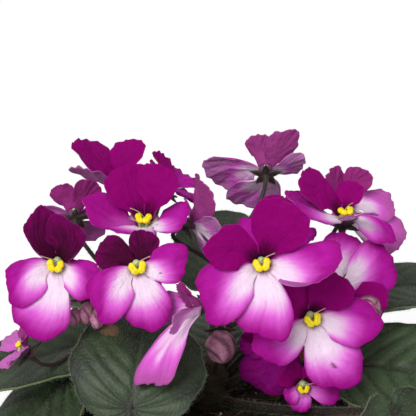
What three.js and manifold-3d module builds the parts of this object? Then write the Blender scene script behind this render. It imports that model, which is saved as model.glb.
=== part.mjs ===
// A potted African violet in flower, in millimetres, +Z up.
//
// The origin is the centre of the pot's underside, on the surface the pot stands on. -Y is the side that
// faces the viewer and +X is that viewer's right.
//
// A plain clay pot is filled with potting mix. A short thick crown stands in the mix, and everything that
// grew is carried by it: a rosette of round, scalloped leaves on fleshy stalks, and five branching flower
// stalks with their sepals. Each open bloom is one corolla of five joined petals, two small ones above and
// three larger ones below, with a pair of yellow anthers standing in its throat.

import * as THREE from 'three';
import { mergeVertices } from 'three/addons/utils/BufferGeometryUtils.js';
import Module from 'manifold-3d';

const wasm = await Module();
wasm.setup();

// Driving dimensions.
const FIT_GAP = 0.3; // air between two pieces that touch on the plant

const POT_HEIGHT = 96;
const POT_TOP_RADIUS = 64;
const POT_BASE_RADIUS = 46;
const POT_WALL = 3.4;
const POT_BAND_HEIGHT = 20; // the thicker collar below the rim
const POT_BAND_STEP = 2.4;
const POT_FLOOR = 4;
const DRAIN_COUNT = 5;
const DRAIN_RADIUS = 4;
const DRAIN_CIRCLE = 23;
const ROUND_SIDES = 40;

const SOIL_LEVEL = 86;
const SOIL_DOME = 2;

const CROWN_FOOT = 70;
const CROWN_TOP = 107;
const CROWN_RADIUS = 8.5;

const LEAF_THICKNESS = 0.9;
const PETIOLE_RADIUS = 2.1;
const SCALLOPS = 12;

const PETAL_THICKNESS = 0.7;
const THROAT_RADIUS = 2.4;
const THROAT_DEPTH = 3.4;
const TUBE_END_RADIUS = 1.6;
const THROAT_SIDES = 10;
const TIP_ROUNDING = 0.5; // how much shorter a petal is at its corners than along its middle

const PEDUNCLE_RADIUS = 1.5;
const PEDICEL_RADIUS = 0.85;
const SEPAL_THICKNESS = 0.7;

const DEGREE = Math.PI / 180;
const UP = new THREE.Vector3(0, 0, 1);

// The finishes seen in the photograph.
const finish = {
  clay: new THREE.MeshStandardMaterial({ color: 0xb4693f, roughness: 0.85 }),
  mix: new THREE.MeshStandardMaterial({ color: 0x2a1d14, roughness: 1.0 }),
  stem: new THREE.MeshStandardMaterial({ color: 0x4a4a32, roughness: 0.8 }),
  leaf: new THREE.MeshStandardMaterial({ color: 0x2f4a2b, roughness: 0.7 }),
  stalk: new THREE.MeshStandardMaterial({ color: 0x4b3235, roughness: 0.75 }),
  petal: new THREE.MeshStandardMaterial({ color: 0xa3169a, roughness: 0.6 }),
  anther: new THREE.MeshStandardMaterial({ color: 0xf2d90c, roughness: 0.5 }),
  bud: new THREE.MeshStandardMaterial({ color: 0xb0718c, roughness: 0.65 }),
};

const vec = (p) => new THREE.Vector3(...p);

// Solids.

// A closed three.js geometry as a solid, turned the right way out if its faces point inwards.
function solidOf(geometry) {
  const bare = geometry.clone();
  bare.deleteAttribute('normal');
  bare.deleteAttribute('uv');
  const merged = mergeVertices(bare, 1e-3);
  const triVerts = new Uint32Array(merged.index.array);
  const vertProperties = merged.attributes.position.array;
  const made = new wasm.Manifold(new wasm.Mesh({ numProp: 3, vertProperties, triVerts }));
  if (made.volume() >= 0) return made;
  for (let i = 0; i < triVerts.length; i += 3) {
    [triVerts[i + 1], triVerts[i + 2]] = [triVerts[i + 2], triVerts[i + 1]];
  }
  return new wasm.Manifold(new wasm.Mesh({ numProp: 3, vertProperties, triVerts }));
}

// The largest body of a solid, with any loose scrap dropped.
function mainBody(solid) {
  return solid.decompose().reduce((a, b) => (b.volume() > a.volume() ? b : a));
}

// Several solids as one, again without loose scrap.
function fuse(solids) {
  return mainBody(solids.reduce((a, b) => a.add(b)));
}

// A solid as a named mesh with its finish.
function meshOf(name, solid, material) {
  const { numProp, vertProperties, triVerts } = solid.getMesh();
  const position = new Float32Array((vertProperties.length / numProp) * 3);
  for (let i = 0; i < position.length / 3; i++) {
    position.set(vertProperties.subarray(i * numProp, i * numProp + 3), i * 3);
  }
  const geometry = new THREE.BufferGeometry();
  geometry.setAttribute('position', new THREE.BufferAttribute(position, 3));
  geometry.setIndex(new THREE.BufferAttribute(new Uint32Array(triVerts), 1));
  geometry.computeVertexNormals();
  const mesh = new THREE.Mesh(geometry, material);
  mesh.name = name;
  return mesh;
}

// A closed geometry from rows of points, each row a ring of the same length, with both ends capped.
function loftRings(rings) {
  const sides = rings[0].length;
  const points = rings.flat();
  const first = points.length;
  const centreOf = (ring) => ring.reduce((a, p) => a.add(p), new THREE.Vector3()).divideScalar(sides);
  points.push(centreOf(rings[0]), centreOf(rings.at(-1)));
  const index = [];
  for (let r = 0; r < rings.length - 1; r++) {
    for (let i = 0; i < sides; i++) {
      const a = r * sides + i;
      const b = r * sides + ((i + 1) % sides);
      index.push(a, b, b + sides, a, b + sides, a + sides);
    }
  }
  const last = (rings.length - 1) * sides;
  for (let i = 0; i < sides; i++) {
    index.push(first, (i + 1) % sides, i, first + 1, last + i, last + ((i + 1) % sides));
  }
  return new THREE.BufferGeometry().setFromPoints(points).setIndex(index);
}

// A ring of points round a centre, in the plane of two directions at right angles.
function roundRing(centre, side, across, radius, count) {
  return Array.from({ length: count }, (_, k) => {
    const turn = (2 * Math.PI * k) / count;
    const spoke = side.clone().multiplyScalar(Math.cos(turn)).addScaledVector(across, Math.sin(turn));
    return centre.clone().addScaledVector(spoke, radius);
  });
}

// A tapered round stem through points, with a radius at each of them.
function stemSolid(points, radii, sides) {
  const rings = [];
  let side = new THREE.Vector3(1, 0.3, 0.2);
  points.forEach((p, i) => {
    const [before, after] = [points[Math.max(i - 1, 0)], points[Math.min(i + 1, points.length - 1)]];
    const along = after.clone().sub(before).normalize();
    side = side.clone().addScaledVector(along, -side.dot(along)).normalize();
    const across = new THREE.Vector3().crossVectors(along, side);
    rings.push(roundRing(p, side, across, radii[i], sides));
  });
  return solidOf(loftRings(rings));
}

// Triangles between two open rows of points that run the same way, whatever their counts. The rows are
// arrays of vertex numbers; seen with the first row nearer, the faces look up.
function zipRows(inner, outer) {
  const index = [];
  let [i, j] = [0, 0];
  while (i < inner.length - 1 || j < outer.length - 1) {
    const nextOuter = (j + 1) / (outer.length - 1);
    const nextInner = (i + 1) / (inner.length - 1);
    if (j < outer.length - 1 && (nextOuter <= nextInner || i === inner.length - 1)) {
      index.push(inner[i], outer[j], outer[j + 1]);
      j += 1;
    } else {
      index.push(inner[i], outer[j], inner[i + 1]);
      i += 1;
    }
  }
  return index;
}

// The narrow faces between the edge of an upper skin and the same edge of its under skin. The edge runs
// anticlockwise seen from above; the under skin's numbers are the upper ones plus the shift.
function edgeFaces(edge, shift, closed) {
  const index = [];
  const count = closed ? edge.length : edge.length - 1;
  for (let k = 0; k < count; k++) {
    const [a, b] = [edge[k], edge[(k + 1) % edge.length]];
    index.push(a, a + shift, b, a + shift, b + shift, b);
  }
  return index;
}

// The same faces for the under skin, looking the other way.
function turnedOver(faces, shift) {
  const index = [];
  for (let i = 0; i < faces.length; i += 3) {
    index.push(faces[i] + shift, faces[i + 2] + shift, faces[i + 1] + shift);
  }
  return index;
}

// A solid of revolution about +Z from [radius, height] pairs that start and end on the axis.
function turnedSolid(profile, sides) {
  const lathe = new THREE.LatheGeometry(profile.map(([r, z]) => new THREE.Vector2(r, z)), sides);
  return solidOf(lathe.rotateX(Math.PI / 2));
}

// Points along a curve that leaves a towards b and reaches d from c.
function bezier(a, b, c, d, steps) {
  return new THREE.CubicBezierCurve3(a, b, c, d).getPoints(steps);
}

// A direction from its azimuth, 0 towards the viewer and 90 to the viewer's right, and its elevation.
function heading(azimuth, elevation) {
  const [a, e] = [azimuth * DEGREE, elevation * DEGREE];
  return new THREE.Vector3(Math.sin(a) * Math.cos(e), -Math.cos(a) * Math.cos(e), Math.sin(e));
}

// Where an arc that starts at angle a and turns by b over its length has got to after x.
function arcTo(x, length, a, b) {
  const turn = Math.abs(b) < 1e-3 ? 1e-3 : b;
  const angle = a + (turn * x) / length;
  const scale = length / turn;
  return { x: scale * (Math.sin(angle) - Math.sin(a)), z: scale * (Math.cos(a) - Math.cos(angle)), angle };
}

// Pot, potting mix and crown.

// The outer radius of the pot's tapered wall at a height.
function wallRadius(z) {
  return POT_BASE_RADIUS + ((POT_TOP_RADIUS - POT_BAND_STEP - POT_BASE_RADIUS) * z) / POT_HEIGHT;
}

// The pot: a tapered wall, a thicker collar at the top, and drainage holes in a circle in its base.
function potSolid() {
  const band = POT_HEIGHT - POT_BAND_HEIGHT;
  const shell = turnedSolid([
    [0, 0],
    [POT_BASE_RADIUS - 1, 0],
    [POT_BASE_RADIUS, 1.5],
    [wallRadius(band), band],
    [POT_TOP_RADIUS - 1, band + 1],
    [POT_TOP_RADIUS, POT_HEIGHT - 1.5],
    [POT_TOP_RADIUS - 1.5, POT_HEIGHT],
    [POT_TOP_RADIUS - POT_BAND_STEP - POT_WALL + 1, POT_HEIGHT],
    [wallRadius(POT_HEIGHT) - POT_WALL, POT_HEIGHT - 1.5],
    [wallRadius(POT_FLOOR) - POT_WALL, POT_FLOOR],
    [0, POT_FLOOR],
  ], ROUND_SIDES);
  const drains = Array.from({ length: DRAIN_COUNT }, (_, i) => {
    const turn = (2 * Math.PI * i) / DRAIN_COUNT;
    const [x, y] = [DRAIN_CIRCLE * Math.cos(turn), DRAIN_CIRCLE * Math.sin(turn)];
    const drill = new THREE.CylinderGeometry(DRAIN_RADIUS, DRAIN_RADIUS, 3 * POT_FLOOR, 10);
    return solidOf(drill.rotateX(Math.PI / 2).translate(x, y, POT_FLOOR / 2));
  });
  return drains.reduce((pot, drill) => pot.subtract(drill), shell);
}

// The crown's outline, grown by a gap where another piece is cut back from it.
function crownSolid(gap) {
  return turnedSolid([
    [0, CROWN_FOOT - gap],
    [4 + gap, CROWN_FOOT - gap],
    [CROWN_RADIUS - 2 + gap, SOIL_LEVEL - 6],
    [CROWN_RADIUS + gap, SOIL_LEVEL + 5],
    [CROWN_RADIUS + gap, CROWN_TOP - 6],
    [CROWN_RADIUS - 3 + gap, CROWN_TOP + gap],
    [0, CROWN_TOP + 1.5 + gap],
  ], 12);
}

// The mix fills the pot to below its rim, with the crown's hole in it.
function soilSolid() {
  const inner = (z) => wallRadius(z) - POT_WALL - FIT_GAP;
  const fill = turnedSolid([
    [0, POT_FLOOR + FIT_GAP],
    [inner(POT_FLOOR) - 0.5, POT_FLOOR + FIT_GAP],
    [inner(SOIL_LEVEL), SOIL_LEVEL],
    [inner(SOIL_LEVEL) * 0.6, SOIL_LEVEL + SOIL_DOME * 0.7],
    [0, SOIL_LEVEL + SOIL_DOME],
  ], ROUND_SIDES);
  return fill.subtract(crownSolid(FIT_GAP));
}

// Leaves.

// How far a leaf's edge is from the top of its stalk, at an angle from the tip: an egg-shaped blade with a
// notch where the stalk meets it.
function leafReach(leaf, angle) {
  const { length, width } = leaf;
  const [centre, a, b] = [0.4 * length, 0.6 * length, 0.5 * width];
  const [c, s] = [Math.cos(angle), Math.sin(angle)];
  const qa = (c * c) / (a * a) + (s * s) / (b * b);
  const qb = (centre * c) / (a * a);
  const qc = (centre * centre) / (a * a) - 1;
  const oval = (qb + Math.sqrt(qb * qb - qa * qc)) / qa;
  const notch = 1 - 0.66 * Math.exp(-(((Math.PI - Math.abs(angle)) / 0.42) ** 2));
  const point = 1 + 0.05 * Math.exp(-((angle / 0.25) ** 2));
  return oval * notch * point;
}

// A point of the leaf's upper face in the leaf's own frame: +X along the midrib, +Z out of the face.
function leafSurface(leaf, x, y, edge) {
  const across = Math.abs(y) / (0.5 * leaf.width);
  const rise = leaf.fold * (Math.sqrt(across * across + 0.01) - 0.1) - leaf.curl * across ** 3;
  const wave = leaf.wave * edge ** 3 * Math.sin(3 * Math.atan2(y, x) + leaf.phase);
  const spine = arcTo(x, leaf.length, 0, -leaf.droop * DEGREE);
  const lift = rise + wave;
  const [sin, cos] = [Math.sin(spine.angle), Math.cos(spine.angle)];
  return new THREE.Vector3(spine.x - sin * lift, y, spine.z + cos * lift);
}

// Where the leaf's own frame sits: at the top of its stalk, +X along the blade.
function leafFrame(leaf) {
  const x = heading(leaf.azimuth, leaf.pitch);
  const y = new THREE.Vector3().crossVectors(UP, x).normalize();
  const z = new THREE.Vector3().crossVectors(x, y);
  const frame = new THREE.Matrix4().makeBasis(x, y, z);
  frame.multiply(new THREE.Matrix4().makeRotationX(leaf.roll * DEGREE));
  return frame.setPosition(vec(leaf.joint));
}

// The blade is rings of points round the stalk's top; only the outermost ring carries the scallops.
function leafBlade(leaf) {
  const flat = [[0, 0, 0]];
  const rings = [[0.42, SCALLOPS], [0.78, SCALLOPS], [1, 2 * SCALLOPS]].map(([share, count]) => {
    const ring = [];
    for (let i = 0; i < count; i++) {
      const angle = -Math.PI + (2 * Math.PI * i) / count;
      const scallop = share === 1 ? 1 - 0.045 * (i % 2) : 1;
      const reach = leafReach(leaf, angle) * share * scallop;
      ring.push(flat.length);
      flat.push([reach * Math.cos(angle), reach * Math.sin(angle), share]);
    }
    return ring;
  });
  const tiny = 0.05;
  const top = flat.map(([x, y, e]) => leafSurface(leaf, x, y, e));
  const under = flat.map(([x, y, e], i) => {
    const dx = leafSurface(leaf, x + tiny, y, e).sub(leafSurface(leaf, x - tiny, y, e));
    const dy = leafSurface(leaf, x, y + tiny, e).sub(leafSurface(leaf, x, y - tiny, e));
    return top[i].clone().addScaledVector(dx.cross(dy).normalize(), -LEAF_THICKNESS);
  });
  const closed = (ring) => [...ring, ring[0]];
  const face = [
    ...zipRows([0], closed(rings[0])),
    ...zipRows(closed(rings[0]), closed(rings[1])),
    ...zipRows(closed(rings[1]), closed(rings[2])),
  ];
  const index = [...face, ...turnedOver(face, flat.length), ...edgeFaces(rings[2], flat.length, true)];
  return new THREE.BufferGeometry().setFromPoints([...top, ...under]).setIndex(index);
}

// A leaf's stalk leaves the crown, arches to the blade and runs on under it as the midrib.
function leafSolid(leaf, crownGap) {
  const frame = leafFrame(leaf);
  const blade = solidOf(leafBlade(leaf).applyMatrix4(frame));
  const joint = vec(leaf.joint);
  const out = heading(leaf.root.azimuth, leaf.root.rise);
  const start = heading(leaf.root.azimuth, 0).multiplyScalar(CROWN_RADIUS - 3).setZ(leaf.root.height);
  const reach = joint.distanceTo(start);
  const normal = new THREE.Vector3().setFromMatrixColumn(frame, 2);
  const along = heading(...(leaf.arrive ?? [leaf.azimuth, 0.3 * leaf.pitch]));
  const below = joint.clone().addScaledVector(normal, -0.5 * PETIOLE_RADIUS);
  const stalk = bezier(
    start,
    start.clone().addScaledVector(out, 0.4 * reach),
    below.clone().addScaledVector(along, -0.35 * reach),
    below,
    5,
  );
  const radii = stalk.map((_, i) => PETIOLE_RADIUS * (1 - 0.04 * i));
  const under = leafSurface(leaf, 0.3 * leaf.length, 0, 0).applyMatrix4(frame);
  stalk.push(under.addScaledVector(normal, -0.3 * PETIOLE_RADIUS));
  radii.push(0.4 * PETIOLE_RADIUS);
  return mainBody(fuse([blade, stemSolid(stalk, radii, 6)]).subtract(crownGap));
}

// Blooms.

// The five petals of a bloom as it usually opens, anticlockwise from the lower right one. A petal has a
// length as a share of the bloom's size, half the angle of its fan, its rise from the face at the throat
// and at its tip, how far its sides have bent forward, how far it has twisted and swung round, its layer
// where petals overlap, and a ripple along its edge.
const PLAIN_PETAL = {
  length: 1, fan: 39, rise: 32, tip: -6, cup: -5, twist: 0, swing: 0, layer: 0, wave: 0.4,
};
const UPPER_PETAL = { ...PLAIN_PETAL, length: 0.82, rise: 38, tip: 12, wave: 0.3 };
const PETALS = {
  right: { ...PLAIN_PETAL, phase: 4.1 },
  upperRight: { ...UPPER_PETAL, cup: 4, layer: 2.6, phase: 2.4 },
  upperLeft: { ...UPPER_PETAL, cup: -4, layer: 1.2, phase: 0.6 },
  left: { ...PLAIN_PETAL, phase: 1.2 },
  bottom: { ...PLAIN_PETAL, length: 1.08, rise: 30, tip: -14, cup: -16, layer: -1.3, phase: 0 },
};
const PETAL_TURN = -18; // the first petal's direction round the face, 0 to its right
const PETAL_STEP = 72;
const JOINED_FAN = 35; // half a petal's share of the face where it still lies beside its neighbours
const JOINED_SHARE = 0.4; // and how far out that is

const eased = (x) => THREE.MathUtils.smoothstep(x, 0, 1);

// A point on a petal's front in the bloom's frame: +Z out of the face, +Y up across it. s runs from the
// throat to the edge and t across the petal.
function petalSurface(petal, turn, size, s, t) {
  const full = petal.length * size;
  const free = eased((s - JOINED_SHARE) / (1 - JOINED_SHARE));
  const angle = t * (JOINED_FAN + (petal.fan - JOINED_FAN) * free) * DEGREE;
  const reach = full * (1 - TIP_ROUNDING * t ** 4);
  const rho = THROAT_RADIUS + s * (reach - THROAT_RADIUS);
  const x = rho * Math.cos(angle);
  const spine = arcTo(x - THROAT_RADIUS, full, petal.rise * DEGREE, (petal.tip - petal.rise) * DEGREE);
  const narrowed = (THROAT_RADIUS + spine.x) / x;
  const y = rho * Math.sin(angle) * (narrowed + (1 - narrowed) * free);
  const bent = arcTo(Math.abs(y), 0.5 * full, 0, petal.cup * s * DEGREE);
  const ripple = petal.wave * s * s * Math.sin(2.5 * Math.PI * t + petal.phase);
  const [across, lift] = [Math.sign(y) * bent.x, bent.z + ripple];
  const [tc, ts] = [Math.cos(petal.twist * free * DEGREE), Math.sin(petal.twist * free * DEGREE)];
  const side = across * tc - lift * ts;
  const height = across * ts + lift * tc;
  const out = THROAT_RADIUS + spine.x - Math.sin(spine.angle) * height;
  const z = spine.z + Math.cos(spine.angle) * height + petal.layer * eased(s / JOINED_SHARE);
  const round = (turn + petal.swing * free) * DEGREE;
  return new THREE.Vector3(
    out * Math.cos(round) - side * Math.sin(round),
    out * Math.sin(round) + side * Math.cos(round),
    z,
  );
}

// Where a bloom's own frame sits: at the throat, +Z the way it faces.
function bloomFrame(bloom) {
  const z = heading(bloom.faces[0], bloom.faces[1]);
  const x = new THREE.Vector3().crossVectors(UP, z).normalize();
  const y = new THREE.Vector3().crossVectors(z, x);
  const frame = new THREE.Matrix4().makeBasis(x, y, z);
  frame.multiply(new THREE.Matrix4().makeRotationZ(bloom.roll * DEGREE));
  return frame.setPosition(vec(bloom.at));
}

const PETAL_ROWS = [[JOINED_SHARE, 4], [1, 8]]; // how far out each row of points is, and how many it has

// The rows of one petal's points, front and back, from its foot on the throat's rim out to its edge.
function petalRows(petal, turn, size, foot, front, back) {
  const rows = [foot];
  PETAL_ROWS.forEach(([s, count]) => {
    const row = [];
    for (let i = 0; i < count; i++) {
      const t = -1 + (2 * i) / (count - 1);
      const at = (ds, dt) => petalSurface(petal, turn, size, s + ds, t + dt);
      const ds = at(0, 0).sub(at(-0.01, 0));
      const dt = at(0, 0.01).sub(at(0, -0.01));
      row.push(front.length);
      front.push(at(0, 0));
      back.push(at(0, 0).addScaledVector(ds.cross(dt).normalize(), -PETAL_THICKNESS));
    }
    rows.push(row);
  });
  return rows;
}

// A ring of points round the throat.
function throatRing(radius, z) {
  return Array.from({ length: THROAT_SIDES }, (_, i) => {
    const turn = (PETAL_TURN - PETAL_STEP / 2 + (360 * i) / THROAT_SIDES) * DEGREE;
    return new THREE.Vector3(radius * Math.cos(turn), radius * Math.sin(turn), z);
  });
}

// One skin from the short tube at the back, through the throat, to the edges of all five petals.
function corollaSolid(bloom) {
  const front = throatRing(THROAT_RADIUS, 0);
  const back = throatRing(THROAT_RADIUS + 0.5, -0.75);
  const face = [];
  const edges = [];
  Object.entries(PETALS).forEach(([name, usual], k) => {
    const petal = { ...usual, ...bloom.petals?.[name] };
    const foot = [2 * k, 2 * k + 1, (2 * k + 2) % THROAT_SIDES];
    const rows = petalRows(petal, PETAL_TURN + k * PETAL_STEP, bloom.size, foot, front, back);
    rows.slice(1).forEach((row, r) => face.push(...zipRows(rows[r], row)));
    const rightSide = rows.map((row) => row[0]);
    const leftSide = rows.map((row) => row.at(-1)).reverse();
    edges.push([...rightSide, ...rows.at(-1).slice(1, -1), ...leftSide]);
  });
  const shift = front.length;
  const tube = 2 * shift;
  const [floor, end] = [tube + THROAT_SIDES, tube + THROAT_SIDES + 1];
  const index = [...face, ...turnedOver(face, shift)];
  edges.forEach((edge) => index.push(...edgeFaces(edge, shift, false)));
  for (let i = 0; i < THROAT_SIDES; i++) {
    const j = (i + 1) % THROAT_SIDES;
    index.push(floor, i, j);
    index.push(shift + j, shift + i, tube + i, shift + j, tube + i, tube + j);
    index.push(end, tube + j, tube + i);
  }
  const points = [...front, ...back, ...throatRing(TUBE_END_RADIUS, -THROAT_DEPTH)];
  points.push(new THREE.Vector3(0, 0, -0.9), new THREE.Vector3(0, 0, -THROAT_DEPTH));
  const skin = new THREE.BufferGeometry().setFromPoints(points).setIndex(index);
  return solidOf(skin.applyMatrix4(bloomFrame(bloom)));
}

// Two bean-shaped anthers joined at their tips, on one short filament that stands on the throat's floor.
function antherSolid(bloom) {
  const grown = (bloom.pollen ?? 1) * Math.min(1, bloom.size / 23); // small ones in a half open bloom
  const bean = (side) => {
    const shape = new THREE.SphereGeometry(grown, 6, 4).scale(1.6, 2.4, 1.4);
    const place = vec([side * 1.5, -0.5, 3.2]).multiplyScalar(grown);
    return solidOf(shape.rotateZ(side * 28 * DEGREE).translate(...place));
  };
  const filament = stemSolid([vec([0, 0, -0.35]), vec([0, 0, 3 * grown])], [0.5, 0.7], 4);
  return fuse([bean(-1), bean(1), filament]).transform(bloomFrame(bloom).elements);
}

// Flower stalks.

const LOBES = 5;

// One pedicel with the five sepals it spreads behind a bloom or a bud: rings of points from the sepals'
// middle back to the fork, and in front of them a five-pointed star of even thickness.
function pedicelSolid(fork, lean, frame, depth, star) {
  const seat = -depth - FIT_GAP;
  const local = (radius, degrees, z) => {
    const turn = degrees * DEGREE;
    return new THREE.Vector3(radius * Math.cos(turn), radius * Math.sin(turn), z).applyMatrix4(frame);
  };
  const facing = new THREE.Vector3().setFromMatrixColumn(frame, 2);
  const end = local(0, 0, seat - 2.2);
  const span = end.distanceTo(fork);
  const path = bezier(
    end,
    end.clone().addScaledVector(facing, -0.35 * span),
    fork.clone().addScaledVector(lean, 0.35 * span),
    fork,
    4,
  );
  const points = [];
  let side = local(1, 18, 0).sub(local(0, 0, 0));
  path.forEach((p, i) => {
    const [before, after] = [path[Math.max(i - 1, 0)], path[Math.min(i + 1, path.length - 1)]];
    const along = before.clone().sub(after).normalize();
    side = side.clone().addScaledVector(along, -side.dot(along)).normalize();
    const across = new THREE.Vector3().crossVectors(along, side);
    points.push(...roundRing(p, side, across, PEDICEL_RADIUS, LOBES));
  });
  const root = points.length;
  points.push(fork.clone());
  const [under, top] = [points.length, points.length + 2 * LOBES];
  for (const thick of [-SEPAL_THICKNESS, 0]) {
    for (let k = 0; k < LOBES; k++) {
      points.push(local(star.radius, 18 + 72 * k, seat + star.lift + thick));
      points.push(local(2.4, 54 + 72 * k, seat + thick));
    }
  }
  const middle = points.length;
  points.push(local(0, 0, seat));
  return solidOf(new THREE.BufferGeometry().setFromPoints(points).setIndex([
    ...pedicelFaces(path.length - 1, root),
    ...starFaces(under, top, middle),
  ]));
}

// The pedicel's round wall, from its first ring at the star to its point at the root.
function pedicelFaces(steps, root) {
  const index = [];
  for (let k = 0; k < LOBES; k++) {
    const n = (k + 1) % LOBES;
    for (let r = 0; r < steps; r++) {
      const [a, b, c, d] = [LOBES * r + k, LOBES * r + n, LOBES * (r + 1) + k, LOBES * (r + 1) + n];
      index.push(a, d, b, a, c, d);
    }
    index.push(root, LOBES * steps + n, LOBES * steps + k);
  }
  return index;
}

// The star's faces: behind, from the pedicel's first ring; in front, from the middle; and round the edge.
function starFaces(under, top, middle) {
  const index = [];
  for (let k = 0; k < LOBES; k++) {
    const n = (k + 1) % LOBES;
    const [tip, notch, next] = [under + 2 * k, under + 2 * k + 1, under + 2 * n];
    const [topTip, topNotch, topNext] = [top + 2 * k, top + 2 * k + 1, top + 2 * n];
    index.push(k, notch, tip, k, n, notch, n, next, notch);
    index.push(middle, topTip, topNotch, middle, topNotch, topNext);
    index.push(tip, notch, topNotch, tip, topNotch, topTip);
    index.push(notch, next, topNext, notch, topNext, topNotch);
  }
  return index;
}

const BLOOM_STAR = { radius: 6.6, lift: 0.5 };
const BUD_STAR = { radius: 6.4, lift: 1.2 };
const BUD_DEPTH = 1.4;

const budFrame = (bud) => bloomFrame({ ...bud, roll: 0 });

// One bud, or a few small ones side by side that grew as one cluster.
function budSolid(bud) {
  const lobes = bud.lobes.map(([x, y, radius, length, base]) => {
    const shape = new THREE.SphereGeometry(1, 8, 6).rotateX(Math.PI / 2);
    shape.scale(radius, radius, length / 2);
    return solidOf(shape.translate(x, y, length / 2 - BUD_DEPTH + base));
  });
  return fuse(lobes).transform(budFrame(bud).elements);
}

// A flower stalk from the crown to its fork, with a pedicel and sepals for each of its blooms and buds.
function stalkSolid(stalk, blooms, buds, crownGap) {
  const leanOf = (item) => (item.lean ? heading(...item.lean) : UP);
  const fork = vec(stalk.fork);
  const root = heading(stalk.root.azimuth, 0).multiplyScalar(CROWN_RADIUS - 4).setZ(stalk.root.height);
  const span = fork.distanceTo(root);
  const out = heading(stalk.root.azimuth, stalk.root.rise);
  const points = bezier(
    root,
    root.clone().addScaledVector(out, 0.4 * span),
    fork.clone().addScaledVector(UP, -0.35 * span),
    fork,
    5,
  );
  const radii = points.map((_, i) => PEDUNCLE_RADIUS * (1 - 0.05 * i));
  const parts = [stemSolid(points, radii, 6)];
  const knot = new THREE.SphereGeometry(1.1 * PEDUNCLE_RADIUS, 6, 4);
  parts.push(solidOf(knot.translate(...stalk.fork)));
  blooms.forEach((bloom) => {
    parts.push(pedicelSolid(fork, leanOf(bloom), bloomFrame(bloom), THROAT_DEPTH, BLOOM_STAR));
  });
  buds.forEach((bud) => {
    parts.push(pedicelSolid(fork, leanOf(bud), budFrame(bud), BUD_DEPTH, BUD_STAR));
  });
  return mainBody(fuse(parts).subtract(crownGap));
}

// Where everything grows. Positions are in millimetres from the origin; "faces" is an azimuth and an
// elevation; "roll" turns a bloom in its own plane.

const LEAVES = [
  {
    name: 'leaf_front_left', joint: [-28, -60, 109.5], azimuth: 160, pitch: 70, roll: 16,
    length: 43, width: 51, fold: 1.5, curl: 3, droop: 72, wave: 1.2, phase: 0,
    root: { azimuth: -26, rise: 12, height: 95 }, arrive: [-26, 12],
  },
  {
    name: 'leaf_left', joint: [-41, -18, 121], azimuth: -76, pitch: -8, roll: -8,
    length: 56, width: 46, fold: 4, curl: 1, droop: 18, wave: 1.5, phase: 1,
    root: { azimuth: -64, rise: 40, height: 96 },
  },
  {
    name: 'leaf_left_low', joint: [-54, -31, 109.5], azimuth: -60, pitch: -36, roll: -4,
    length: 50, width: 48, fold: 2, curl: 2, droop: 30, wave: 1.5, phase: 2,
    root: { azimuth: -48, rise: 15, height: 92 },
  },
  {
    name: 'leaf_right', joint: [51, -22, 113], azimuth: 68, pitch: 5, roll: 28,
    length: 57, width: 46, fold: 3, curl: 1, droop: 18, wave: 1.5, phase: 0.5,
    root: { azimuth: 66, rise: 35, height: 96 },
  },
  {
    name: 'leaf_right_upper', joint: [54, 12, 131], azimuth: 88, pitch: 10, roll: 10,
    length: 54, width: 44, fold: 3, curl: 1, droop: 20, wave: 1.5, phase: 2.5,
    root: { azimuth: 98, rise: 50, height: 99 },
  },
  {
    name: 'leaf_right_low', joint: [68, -62, 109], azimuth: 36, pitch: -56, roll: 0,
    length: 46, width: 46, fold: 2, curl: 3, droop: 15, wave: 1.5, phase: 1.5,
    root: { azimuth: 44, rise: 6, height: 91.2 }, arrive: [40, 16],
  },
  {
    name: 'leaf_right_back', joint: [44, 32, 118], azimuth: 122, pitch: 6, roll: 0,
    length: 58, width: 46, fold: 3, curl: 2, droop: 14, wave: 1.5, phase: 0,
    root: { azimuth: 124, rise: 40, height: 95 },
  },
  {
    name: 'leaf_back_right', joint: [26, 44, 114], azimuth: 150, pitch: 14, roll: 0,
    length: 54, width: 48, fold: 3, curl: 2, droop: 24, wave: 1.5, phase: 2,
    root: { azimuth: 148, rise: 40, height: 93 },
  },
  {
    name: 'leaf_back', joint: [4, 29, 98.5], azimuth: 178, pitch: 12, roll: 0,
    length: 58, width: 50, fold: 2, curl: 2, droop: 26, wave: 1.5, phase: 1,
    root: { azimuth: 176, rise: 12, height: 91.2 },
  },
  {
    name: 'leaf_back_tall', joint: [4, 38, 128], azimuth: 172, pitch: 32, roll: 0,
    length: 46, width: 44, fold: 3, curl: 2, droop: 20, wave: 1.5, phase: 0,
    root: { azimuth: 172, rise: 60, height: 99 }, arrive: [172, 22],
  },
  {
    name: 'leaf_back_left', joint: [-36, 42, 117], azimuth: -140, pitch: 8, roll: 0,
    length: 58, width: 50, fold: 3, curl: 2, droop: 24, wave: 1.5, phase: 2,
    root: { azimuth: -140, rise: 40, height: 94 },
  },
  {
    name: 'leaf_left_back', joint: [-46, 14, 108], azimuth: -104, pitch: -2, roll: 0,
    length: 56, width: 48, fold: 3, curl: 2, droop: 24, wave: 1.5, phase: 1,
    root: { azimuth: -106, rise: 40, height: 97 },
  },
];

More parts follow.
